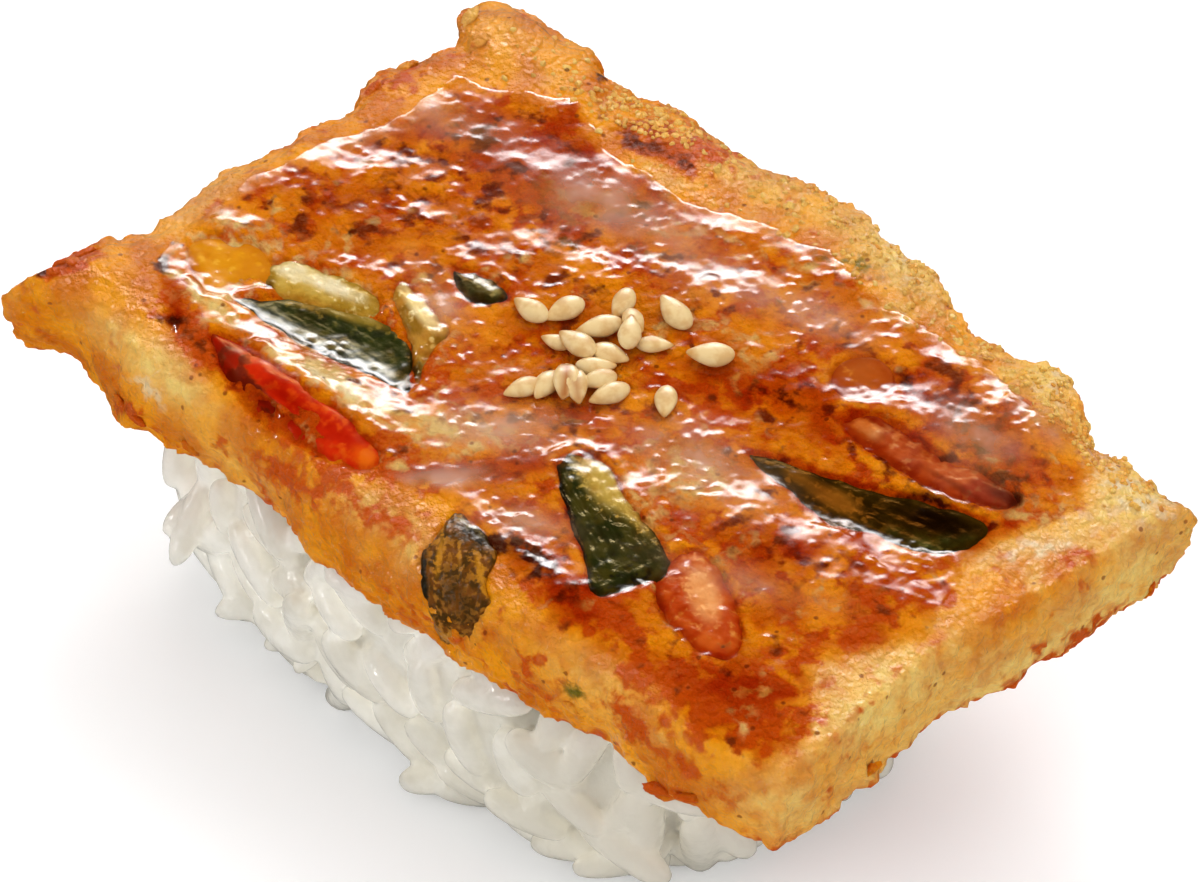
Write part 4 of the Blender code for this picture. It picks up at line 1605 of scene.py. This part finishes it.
@dataclass
class Glaze:
    """The film of glaze over the top, which pools in hollows and thins over bumps."""

    spacing: float = 0.21 * MM
    triangles: int = 190_000
    film: float = 0.05 * MM
    body: float = 0.03 * MM
    deep: float = 0.4 * MM
    levelling: float = 0.75 * MM
    bead: float = 0.9 * MM
    blend: float = 0.04 * MM
    ripple: float = 0.035 * MM
    pimple: float = 0.085 * MM
    pimple_size: float = 1.25 * MM
    grain: float = 0.12 * MM
    grain_size: float = 0.62 * MM
    wander: float = 0.55 * MM
    unevenness: float = 0.1 * MM
    foreshortening: float = 0.85
    embed: float = 0.12 * MM
    finish: GlazeFinish = field(default_factory=GlazeFinish)

    def build(self, under: list[Object]) -> Object:
        """Pours the glaze.

        Args:
            under: The pieces that it lies on.

        Returns:
            The glaze.
        """
        tree = tree_of([piece.data for piece in under])
        low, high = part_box("pancake")
        across = np.arange(low.x, high.x, self.spacing)
        along = np.arange(low.y, high.y, self.spacing)
        ground = dropped(tree, across, along, high.z + 5 * MM, 12 * MM)
        missing = np.isnan(ground)
        ground[missing] = np.nanmin(ground)
        grid_x, grid_y = np.meshgrid(across, along, indexing="ij")
        places = np.stack([grid_x.ravel(), grid_y.ravel(), ground.ravel()], axis=1)
        pixels = VIEW.pixels(places)

        def noise(size: float, seed: int, layers: int = 3) -> Array:
            """Layered noise over the grid, its swellings so many millimetres wide."""
            return layered_noise(places, size * MM, seed, layers).reshape(ground.shape)

        reach_pixels = glaze_distance(pixels).reshape(ground.shape)
        inside = reach_pixels / (VIEW.pixels_per_metre * self.foreshortening) + self.wander * noise(2.6, 41)
        level = blurred(ground, self.levelling / self.spacing)
        deep = covered(PATCHES[Tint.GLAZED], pixels).reshape(ground.shape)
        thick = self.body + self.deep * deep + self.unevenness * noise(5, 43)
        softness = self.bead * (1.6 + 1.2 * noise(6, 47))
        bead = smooth_step(inside / softness, 0.0, 1.0)
        surface = level + thick * bead
        over = ground + self.film * bead
        top = self.blend * np.logaddexp(surface / self.blend, over / self.blend)
        top += self.ripple * noise(0.9, 52, 2) * bead
        near, shade = cell_noise(places, self.grain_size, 57)
        zone = smooth_step(layered_noise(places, 4.5 * MM, 59), -0.25, 0.25) * (1 - 0.7 * deep.ravel())
        grain = smooth_step(0.75 - near, 0.0, 0.6) * smooth_step(shade, 0.1, 0.7) * zone
        top += self.grain * grain.reshape(ground.shape) * bead
        near, shade = cell_noise(places, self.pimple_size, 51)
        pimple = smooth_step(0.3 - near * (0.8 + 0.6 * shade), 0.0, 0.22) * (shade > 0.35)
        top += self.pimple * pimple.reshape(ground.shape) * bead
        top = np.where(inside > 0, top, ground - self.embed)
        top = blurred(top, 0.45)
        top = np.where(inside > -0.3 * MM, top, ground - self.embed)
        wet = (inside > -2 * self.spacing) & ~missing
        return self.shell(grid_x, grid_y, top, ground, wet)

    def shell(self, grid_x: Array, grid_y: Array, top: Array, ground: Array, wet: Array) -> Object:
        """Closes the film with an underside inside the batter.

        Args:
            grid_x: X of each place of the grid.
            grid_y: Y of each place.
            top: Height of the film's skin.
            ground: Height of what lies under it.
            wet: Where there is film.

        Returns:
            The glaze.
        """
        near, far = slice(None, -1), slice(1, None)
        corners = ((near, near), (far, near), (far, far), (near, far))
        cells = np.logical_and.reduce([wet[corner] for corner in corners])
        index = np.arange(top.size).reshape(top.shape)
        quads = np.stack([index[corner][cells] for corner in corners], axis=1)
        used, renamed = np.unique(quads, return_inverse=True)
        quads = renamed.reshape(quads.shape)
        flat = np.stack([grid_x.ravel()[used], grid_y.ravel()[used]], axis=1)
        under = np.minimum(ground, top).ravel()[used] - self.embed
        count = len(used)
        vertices = np.concatenate([np.column_stack([flat, z]) for z in (top.ravel()[used], under)])
        sides = np.concatenate([quads[:, [i, (i + 1) % 4]] for i in range(4)])
        twin = {(b, a) for a, b in sides.tolist()}
        walls = [(a, b, b + count, a + count)[::-1] for a, b in sides.tolist() if (a, b) not in twin]
        faces = quads.tolist() + (quads[:, ::-1] + count).tolist() + [list(wall) for wall in walls]
        mesh = bpy.data.meshes.new("glaze_film")
        mesh.from_pydata(vertices.tolist(), [], faces)
        mesh.update()
        depth = np.clip(top - ground, 0, None).ravel()[used] / MM
        pixels = VIEW.pixels(points_of(mesh))
        set_field(mesh, "depth", np.tile(depth, 2) * (1 - 0.9 * covered(PATCHES[Tint.BARE], pixels)))
        # Painted sheen where its patches lie and the glaze has some depth
        sheen_paint = covered(PATCHES[Tint.PAINTED_SHEEN], pixels) * np.tile(smooth_step(depth, 0.0, 0.06), 2)
        set_field(mesh, "sheen_paint", np.clip(sheen_paint, 0, 1))
        mesh = thinned(mesh, self.triangles)
        return put(mesh, "glaze_film", self.finish.material())


# ---- Crumbs and flakes of crust ----


@dataclass(frozen=True)
class Flake:
    """A chip of crust: its place in the view, where it points in degrees going down, and its size."""

    across: float
    down: float
    turn: float
    length: float  # millimetres
    width: float  # millimetres
    brown: float = 0.5


FLAKES = tuple(Flake(*row) for row in (
    (98, 249, -12, 1.6, 0.7, 0.6), (84, 254, -25, 1.5, 0.9, 0.8), (64, 262, -20, 1.7, 0.8, 0.9),
    (44, 270, -35, 1.4, 0.9, 0.9), (74, 262, 15, 1.2, 0.8, 0.7), (54, 272, -5, 1.2, 0.7, 0.8),
    (122, 404, 60, 1.8, 1.0, 0.7), (136, 418, 35, 1.6, 0.8, 0.8), (190, 448, 40, 1.4, 0.7, 0.5),
    (660, 790, 20, 2.2, 0.9, 0.9), (690, 797, 5, 1.9, 0.8, 0.8), (570, 706, 40, 1.8, 0.7, 0.4),
    (600, 742, 45, 1.5, 0.7, 0.6), (1128, 460, 10, 1.2, 0.9, 0.2), (1078, 408, 70, 1.5, 0.9, 0.2),
    (470, 18, -60, 2.0, 1.2, 0.1), (478, 44, 120, 1.6, 1.0, 0.3), (598, 66, 60, 1.6, 1.0, 0.6),
    (1015, 690, -35, 1.6, 0.8, 0.7), (980, 706, -35, 1.4, 0.7, 0.8), (1150, 590, -60, 1.3, 0.7, 0.6),
    (870, 770, -40, 1.5, 0.7, 0.6), (372, 90, -50, 1.8, 1.0, 0.7), (408, 66, -30, 1.6, 0.9, 0.4),
))


@dataclass
class Crumbs:
    """Loose crumbs on the crumbly rim, and flakes at the edges of the slab."""

    crumbs: int = 640
    smallest: float = 0.26 * MM
    largest: float = 0.68 * MM

    @staticmethod
    def lump(size: tuple[float, float, float], seed: int, detail: int) -> tuple[Array, Mesh]:
        """An uneven lump at the origin.

        Args:
            size: Its length, width and height.
            seed: Chooses its form.
            detail: How finely it is divided.

        Returns:
            Its points and its mesh.
        """
        made = bmesh.new()
        bmesh.ops.create_icosphere(made, subdivisions=detail, radius=0.5)
        mesh = mesh_from(made, "lump")
        points = points_of(mesh)
        points *= 1 + 0.6 * layered_noise(points, 0.5, seed, 2)[:, None]
        return points * np.array(size), mesh

    def build(self, batter: Object) -> Object:
        """Scatters the crumbs and lays the flakes.

        Args:
            batter: The slab that carries them.

        Returns:
            All of them as one piece.
        """
        random = np.random.default_rng(321)
        tree = tree_of([batter.data])
        places: list[tuple[Vector, Vector, Array, Mesh, float]] = []
        rough = [Patch(*row) for row in PATCHES[Tint.CRUMBLY]]
        while len(places) < self.crumbs:
            patch = rough[random.integers(len(rough))]
            turn, along, aside = math.radians(patch.turn), random.normal() * 0.8, random.normal() * 1.1
            x = patch.across + patch.length * along * math.cos(turn) - patch.width * aside * math.sin(turn)
            y = patch.down + patch.length * along * math.sin(turn) + patch.width * aside * math.cos(turn)
            spot, normal = tree.ray_cast(*VIEW.ray(x, y))[:2]
            place = np.array([[x, y]])
            glazed = glaze_distance(place)[0] > 4
            if spot is None or glazed or covered(PATCHES[Tint.CHAR_AND_SHADOW], place)[0] > 0.15:
                continue
            size = random.uniform(self.smallest, self.largest) * random.uniform(0.6, 1.2, 3)
            points, mesh = self.lump(tuple(size), len(places) + 1000, 2)
            spot = spot - normal * 0.2 * float(size.min())
            places.append((spot, normal, points, mesh, random.uniform(0.0, 0.42) ** 2))
            points[:] = points @ np.linalg.qr(random.normal(size=(3, 3)))[0].T
        for number, flake in enumerate(FLAKES):
            spot, normal = tree.ray_cast(*VIEW.ray(flake.across, flake.down))[:2]
            if spot is None:
                continue
            size = (flake.length * MM, flake.width * MM, 0.55 * MM)
            points, mesh = self.lump(size, number + 3000, 3)
            ahead = VIEW.way(flake.turn)
            side = normal.cross(ahead).normalized()
            points[:] = points @ np.array(Matrix((ahead, side, ahead.cross(side))))
            places.append((spot, normal, points, mesh, flake.brown))
        joined = bmesh.new()
        browned: list[float] = []
        for spot, normal, points, mesh, brown in places:
            set_points(mesh, points + np.array(spot))
            joined.from_mesh(mesh)
            browned.extend([brown] * len(points))
            bpy.data.meshes.remove(mesh)
        mesh = mesh_from(joined, "crumbs")
        set_field(mesh, "browned", np.array(browned))
        set_field(mesh, "pale", np.clip(0.75 - 1.5 * np.array(browned), 0, 1))
        set_field(mesh, "oily", np.full(len(browned), 0.35))
        return put(mesh, "crumbs", bpy.data.materials["batter"])


# ---- Sesame seeds ----


class Lie(Enum):
    """How a sesame seed lies."""

    FLAT = "flat"
    TILTED = "tilted"
    SPLIT = "split"


@dataclass(frozen=True)
class Seed:
    """A sesame seed: the place of its middle in the view, where its tip points there, and its size."""

    across: float
    down: float
    turn: float  # degrees, of the tip from the right, going down
    length: float  # millimetres
    lie: Lie = Lie.FLAT
    lift: float = 0.0  # millimetres
    toast: float = 0.0


SEEDS: tuple[Seed, ...] = (
    Seed(531, 312, 215, 2.9), Seed(565, 313, 150, 3.0), Seed(622, 307, 115, 2.9), Seed(675, 315, 235, 3.3),
    Seed(599, 332, 165, 3.3, lift=0.2), Seed(635, 329, 60, 2.4, lift=0.5),
    Seed(630, 345, 280, 2.9, Lie.TILTED, lift=0.8, toast=0.9), Seed(655, 348, 0, 2.6),
    Seed(710, 357, 185, 3.3), Seed(556, 345, 200, 2.2, lift=0.1, toast=0.35),
    Seed(577, 352, 215, 3.2, lift=0.5), Seed(611, 358, 20, 2.8, lift=0.1), Seed(596, 370, 0, 2.8, lift=0.1),
    Seed(522, 391, 160, 2.8), Seed(547, 390, 130, 2.9, lift=0.1),
    Seed(566, 392, 95, 3.2, Lie.SPLIT, lift=0.7, toast=0.8),
    Seed(577, 396, 85, 3.1, Lie.SPLIT, lift=0.6, toast=0.5), Seed(598, 386, 165, 2.7, lift=0.3),
    Seed(609, 398, 160, 3.1), Seed(666, 405, 95, 2.9, toast=0.25),
)


@dataclass
class SesameSeeds:
    """The seeds scattered on the glaze."""

    width_share: float = 0.6
    thickness_share: float = 0.34
    rings: int = 14
    sides: int = 18
    finish: SeedFinish = field(default_factory=SeedFinish)

    def one_seed(self, seed: Seed, number: int) -> tuple[bmesh.types.BMesh, list[float], list[float]]:
        """A seed lying along X at the origin.

        Args:
            seed: Which one.
            number: Its number, which varies its form.

        Returns:
            Its mesh, and for each vertex how near the tip it is and how toasted.
        """
        random = np.random.default_rng(500 + number)
        made = bmesh.new()
        bmesh.ops.create_uvsphere(made, u_segments=self.sides, v_segments=self.rings, radius=0.5)
        width = self.width_share * random.uniform(0.92, 1.08)
        thickness = self.thickness_share * random.uniform(0.9, 1.15)
        bow = random.uniform(-0.04, 0.04)
        tips, toasts = [], []
        for vertex in made.verts:
            along = vertex.co.z
            taper = 1.0 - 0.52 * max(0.0, along + 0.12) ** 1.25 / 0.62**1.25
            aside, up = vertex.co.x * width * taper, vertex.co.y * thickness * taper
            if seed.lie is Lie.SPLIT:
                up -= 0.05 * math.exp(-((aside / 0.08) ** 2)) * (1 if vertex.co.y > 0 else 0)
            vertex.co = Vector((along, aside + bow * (1 - 4 * along * along), up)) * seed.length * MM
            tips.append(float(np.clip((along - 0.25) / 0.25, 0, 1)) * 0.8)
            seam = math.exp(-((aside / 0.1) ** 2)) if seed.lie is Lie.SPLIT and vertex.co.z > 0 else 0.0
            tip_toast = float(np.clip((along - 0.36) / 0.12, 0, 1))
            toasts.append(seed.toast * max(tip_toast, seam * 1.4))
        return made, tips, toasts

    def build(self, under: list[Object]) -> Object:
        """Lays the seeds.

        Args:
            under: The pieces that they lie on.

        Returns:
            All seeds as one piece.
        """
        tree = tree_of([piece.data for piece in under])
        joined = bmesh.new()
        tips: list[float] = []
        toasts: list[float] = []
        back = Vector(VIEW.axes[2])
        for number, seed in enumerate(SEEDS):
            made, seed_tips, seed_toasts = self.one_seed(seed, number)
            place, normal = tree.ray_cast(*VIEW.ray(seed.across, seed.down))[:2]
            seen = VIEW.way(seed.turn)
            ahead = (seen - back * (seen.dot(normal) / back.dot(normal))).normalized()
            lift = normal.lerp(Vector((0, 0, 1)), 0.5).normalized()
            if seed.lie is Lie.TILTED:
                ahead = (ahead + 0.35 * lift).normalized()
            ahead = (ahead - lift * ahead.dot(lift) * (0.0 if seed.lie is Lie.TILTED else 1.0)).normalized()
            side = lift.cross(ahead).normalized()
            top = ahead.cross(side)
            height = seed.lift * MM + 0.5 * self.thickness_share * seed.length * MM * 0.7
            made.transform(placing(place + lift * height, ahead, side, top))
            single = mesh_from(made, "seed")
            joined.from_mesh(single)
            bpy.data.meshes.remove(single)
            tips.extend(seed_tips)
            toasts.extend(seed_toasts)
        mesh = mesh_from(joined, "sesame_seeds")
        set_field(mesh, "tip", np.array(tips))
        set_field(mesh, "toast", np.clip(np.array(toasts), 0, 1))
        return put(mesh, "sesame_seeds", self.finish.material())


# ---- The rice ----


# Grains whose tips stick out of the lower edge: the place of the tip in the view, and where it points in
# degrees, going down
LOOSE_TIPS: Rows = (
    (166, 570, 112), (155, 536, 150), (184, 578, 70), (208, 618, 165), (234, 626, 110), (258, 654, 145),
    (290, 680, 120), (322, 690, 60), (377, 735, 172), (420, 752, 110), (470, 800, 150), (520, 822, 120),
    (575, 865, 165), (612, 866, 60), (660, 870, 95), (690, 872, 75), (732, 850, 35),
)


@dataclass
class RiceBlock:
    """Cooked grains pressed round a core."""

    grain_length: float = 6.6 * MM
    grain_width: float = 2.65 * MM
    grain_depth: float = 2.3 * MM
    gap_along: float = 4.4 * MM
    gap_across: float = 2.05 * MM
    depth_in: float = 0.95 * MM
    stray: float = 0.16
    tries: int = 14_000
    flow_size: float = 9 * MM
    growth: float = 0.25 * MM
    core_inset: float = 1.4 * MM
    tip_step: float = 3.0  # pixels
    voxel: float = 0.24 * MM
    triangles: int = 190_000
    finish: RiceFinish = field(default_factory=RiceFinish)

    def grain(self, random: np.random.Generator, pointed: float = 0.0) -> Mesh:
        """One grain lying along X at the origin.

        Args:
            random: Varies its size and bend.
            pointed: How much narrower its ends are than those of a pressed grain.

        Returns:
            Its mesh.
        """
        made = bmesh.new()
        bmesh.ops.create_uvsphere(made, u_segments=12, v_segments=12, radius=0.5)
        length = self.grain_length * random.uniform(0.78, 1.12)
        width = self.grain_width * random.uniform(0.88, 1.12)
        depth = self.grain_depth * random.uniform(0.88, 1.12)
        bow = random.uniform(-0.1, 0.1)
        blunt = random.uniform(0.62, 0.82) + pointed
        for vertex in made.verts:
            along = vertex.co.z * 2
            reach = max(1e-6, math.sqrt(max(0.0, 1 - along * along)))
            fuller = reach**blunt / reach
            vertex.co = Vector((
                along / 2 * length,
                vertex.co.x * fuller * width + bow * length * (1 - along * along) * 0.5,
                vertex.co.y * fuller * depth,
            ))
        return mesh_from(made, "grain")

    def places(self) -> list[tuple[Vector, Vector, Vector]]:
        """Evenly spread places on the rice node, each with its normal and the way its grain points.

        Returns:
            Place, normal and way, for each grain.
        """
        mesh = cad_mesh("rice")
        mesh.calc_loop_triangles()
        points = points_of(mesh)
        corners = np.array([tuple(triangle.vertices) for triangle in mesh.loop_triangles])
        a, b, c = (points[corners[:, i]] for i in range(3))
        cross = np.cross(b - a, c - a)
        area = np.linalg.norm(cross, axis=1) / 2
        random = np.random.default_rng(77)
        chosen = random.choice(len(corners), size=self.tries, p=area / area.sum())
        share = random.random((self.tries, 2))
        share[share.sum(axis=1) > 1] = 1 - share[share.sum(axis=1) > 1]
        spots = a[chosen] + share[:, :1] * (b - a)[chosen] + share[:, 1:] * (c - a)[chosen]
        normals = cross[chosen] / (2 * area[chosen][:, None])
        flow = np.stack([gradient_noise(spots, self.flow_size, seed) for seed in (81, 82, 83)], axis=1)
        flow += self.stray * random.normal(size=flow.shape)
        back = VIEW.axes[2]
        flow -= 0.85 * (flow @ back)[:, None] * back
        flow -= normals * np.einsum("ij,ij->i", flow, normals)[:, None]
        flow /= np.linalg.norm(flow, axis=1, keepdims=True)
        kept: list[int] = []
        for i in range(len(spots)):
            offset = spots[kept] - spots[i]
            for axis in (flow[kept], flow[i][None]):
                along = np.einsum("ij,ij->i", offset, np.broadcast_to(axis, offset.shape))
                aside = np.sum(offset**2, axis=1) - along**2
                if np.any((along / self.gap_along) ** 2 + aside / self.gap_across**2 < 1):
                    break
            else:
                kept.append(i)
        return [(Vector(spots[i]), Vector(normals[i]), Vector(flow[i])) for i in kept]

    def build(self) -> Object:
        """Presses the rice.

        Returns:
            The piece that stands for the rice node.
        """
        random = np.random.default_rng(91)
        low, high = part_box("rice")
        meshes = [self.core()]
        middles: list[Vector] = []
        for spot, normal, ahead in self.places():
            mesh = self.grain(random)
            ahead = (ahead + normal * random.uniform(-0.18, 0.18)).normalized()
            side = normal.cross(ahead).normalized()
            middle = spot - normal * (self.depth_in * random.uniform(0.7, 1.25))
            mesh.transform(placing(middle, ahead, side, ahead.cross(side)))
            meshes.append(mesh)
            middles.append(middle)
        self.hang(meshes, middles, random)
        mesh = remeshed(meshes, self.voxel, "rice_grains")
        points = relaxed(mesh, points_of(mesh), 5)
        points[:, 2] = np.clip(points[:, 2], low.z, high.z + self.growth)
        set_points(mesh, points)
        mesh = thinned(mesh, self.triangles)
        self.grain_tones_and_painted_shade(mesh, middles)
        piece = put(mesh, "rice_grains", self.finish.material())
        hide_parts("rice")
        return piece

    def hang(self, meshes: list[Mesh], middles: list[Vector], random: np.random.Generator) -> None:
        """Adds the grains that stick out of the lower edge.

        Args:
            meshes: The grains so far, which it extends.
            middles: Their middles, which it extends.
            random: Varies the grains.
        """
        tree = tree_of([cad_mesh("rice")])
        right, up, back = (Vector(axis) for axis in VIEW.axes)
        for across, down, turn in LOOSE_TIPS:
            angle = math.radians(turn)
            mesh = self.grain(random, 0.35)
            length = 2 * max(vertex.co.x for vertex in mesh.vertices)
            spot, out = None, 0.0
            while spot is None and out < 0.8 * length / MM * PIXELS_PER_MM:
                out += self.tip_step
                ray = VIEW.ray(across - out * math.cos(angle), down - out * math.sin(angle))
                spot, normal = tree.ray_cast(*ray)[:2]
            if spot is None:
                continue
            ahead = (right * math.cos(angle) - up * math.sin(angle) + back * 0.1).normalized()
            side = normal.cross(ahead).normalized()
            middle = spot + ahead * (out / PIXELS_PER_MM * MM - length / 2) - normal * 0.25 * self.grain_depth
            middle.z = max(middle.z, 0.5 * self.grain_depth)
            mesh.transform(placing(middle, ahead, side, ahead.cross(side)))
            meshes.append(mesh)
            middles.append(middle)

    def core(self) -> Mesh:
        """The smaller solid under the grains.

        Returns:
            Its mesh.
        """
        mesh = cad_mesh("rice")
        points = points_of(mesh)
        middle = (points.min(axis=0) + points.max(axis=0)) / 2
        size = points.max(axis=0) - points.min(axis=0)
        set_points(mesh, middle + (points - middle) * (1 - 2 * self.core_inset / size))
        return mesh

    @staticmethod
    def grain_tones_and_painted_shade(mesh: Mesh, middles: list[Vector]) -> None:
        """Stores a tone for each grain, with painted shade added towards the right of the view.

        Args:
            mesh: The pressed rice.
            middles: The middles of the grains.
        """
        tree = KDTree(len(middles))
        for i, middle in enumerate(middles):
            tree.insert(middle, i)
        tree.balance()
        shade = np.random.default_rng(5).random(len(middles))
        values = np.array([shade[tree.find(vertex.co)[1]] for vertex in mesh.vertices])
        across = VIEW.pixels(points_of(mesh))[:, 0]
        shaded = 0.45 * values
        # Painted shade: darker past the left end and more so towards the right of the view, where the slab
        # overhangs the rice
        shaded += 0.3 * smooth_step(across, 190, 260) + 0.65 * smooth_step(across, 380, 640)
        set_field(mesh, "grain", relaxed(mesh, np.repeat(shaded[:, None], 3, axis=1), 2)[:, 0])


# ---- The studio ----


class LightUse(Enum):
    """Whether a light gives the highlights or the even light."""

    GLOSS = "gloss"
    SOFT = "soft"


@dataclass
class Softbox:
    """A rectangular soft light aimed at the sushi."""

    name: str
    azimuth: float
    elevation: float
    distance: float
    width: float
    height: float
    power: float
    use: LightUse = LightUse.SOFT
    aim: float = 0.015  # height that it points to

    @staticmethod
    def fade(data: Light) -> None:
        """Dims a light towards its edges.

        Args:
            data: The light.
        """
        data.use_nodes = True
        bench = Bench(data.node_tree)
        reach = bench.node("VectorMath", operation="DISTANCE")
        bench.join(bench.node("NewGeometry").outputs["Parametric"], reach.inputs[0])
        reach.inputs[1].default_value = (0.5, 0.5, 0.0)
        strength = data.node_tree.nodes["Emission"].inputs["Strength"]
        bench.join(bench.ramp(reach.outputs["Value"], 0.5, 0.0), strength)

    def place(self) -> None:
        """Puts the light in the scene."""
        data = bpy.data.lights.new(self.name, "AREA")
        data.shape = "RECTANGLE"
        data.size, data.size_y = self.width, self.height
        data.energy = self.power
        if self.use is LightUse.GLOSS:
            self.fade(data)
        light = added(self.name, data)
        back = Vector(bearing(self.azimuth, self.elevation))
        light.location = Vector((0, 0, self.aim)) + back * self.distance
        light.rotation_euler = back.to_track_quat("Z", "Y").to_euler()
        light.visible_glossy = self.use is LightUse.GLOSS
        light.visible_diffuse = self.use is LightUse.SOFT


@dataclass
class Studio:
    """Pale floor, soft light and even surroundings."""

    floor_size: float = 3.0
    softboxes: tuple[Softbox, ...] = (
        Softbox("back_window", 224, 23, 0.7, 0.66, 0.4, 17.0, LightUse.GLOSS),
        Softbox("back_panel", 228, 36, 0.8, 0.7, 0.28, 0.7, LightUse.GLOSS),
        Softbox("left_sparkle", -70, 24, 0.8, 0.17, 0.13, 3.8, LightUse.GLOSS),
        Softbox("right_sparkle", 104, 24, 0.8, 0.16, 0.13, 2.2, LightUse.GLOSS),
        Softbox("front_sparkle", -28, 14, 0.8, 0.09, 0.08, 2.6, LightUse.GLOSS),
        Softbox("back_light", 215, 48, 0.8, 0.5, 0.4, 3.05),
        Softbox("front_fill", -8, 32, 0.9, 0.7, 0.6, 2.8),
        Softbox("side_fill", 110, 28, 0.9, 0.6, 0.5, 1.6),
        Softbox("top_fill", 150, 75, 0.9, 0.6, 0.6, 1.6),
    )

    def build(self) -> None:
        """Sets up the floor, the lights and the world."""
        made = bmesh.new()
        bmesh.ops.create_grid(made, x_segments=4, y_segments=4, size=self.floor_size / 2)
        mesh = mesh_from(made, "floor")
        material, bench, shader = new_material("pale_floor")
        soft = bench.group(mottle_group(), Size=0.05, Low=0.3, High=0.7)
        pale = bench.mix(soft, (0.93, 0.93, 0.93), (0.94, 0.94, 0.94))
        bench.feed(shader, {
            "Base Color": pale, "Roughness": 0.9, "Specular IOR Level": 0.1,
            "Emission Color": pale, "Emission Strength": 0.18,
        })
        mesh.materials.append(material)
        floor = added("floor", mesh)
        for softbox in self.softboxes:
            softbox.place()
        world = bpy.data.worlds.new("surroundings")
        world.use_nodes = True
        world.node_tree.nodes["Background"].inputs["Color"].default_value = (1.0, 1.0, 1.0, 1.0)
        world.node_tree.nodes["Background"].inputs["Strength"].default_value = 0.5
        bpy.context.scene.world = world
        world.cycles_visibility.glossy = False
        floor.visible_glossy = False
        scene = bpy.context.scene
        scene.view_settings.view_transform = "Standard"
        scene.cycles.max_bounces = 5
        scene.cycles.diffuse_bounces = 2
        scene.cycles.glossy_bounces = 2
        scene.cycles.transparent_max_bounces = 6


def main() -> None:
    """Builds every piece."""
    VIEW.place_camera()
    Studio().build()
    rice = RiceBlock().build()
    slab = PancakeSlab()
    batter = slab.build([piece.node for piece in SLICES])
    crumbs = Crumbs().build(batter)
    slices = [piece.build(slab.smooth, 200 + 10 * number) for number, piece in enumerate(SLICES)]
    glaze = Glaze().build([batter, *slices])
    seeds = SesameSeeds().build([glaze, batter, *slices])
    for piece in (rice, batter, crumbs, glaze, seeds, *slices):
        log.info("piece %s is in place", piece.name)
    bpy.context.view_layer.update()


if __name__ == "__main__":
    main()
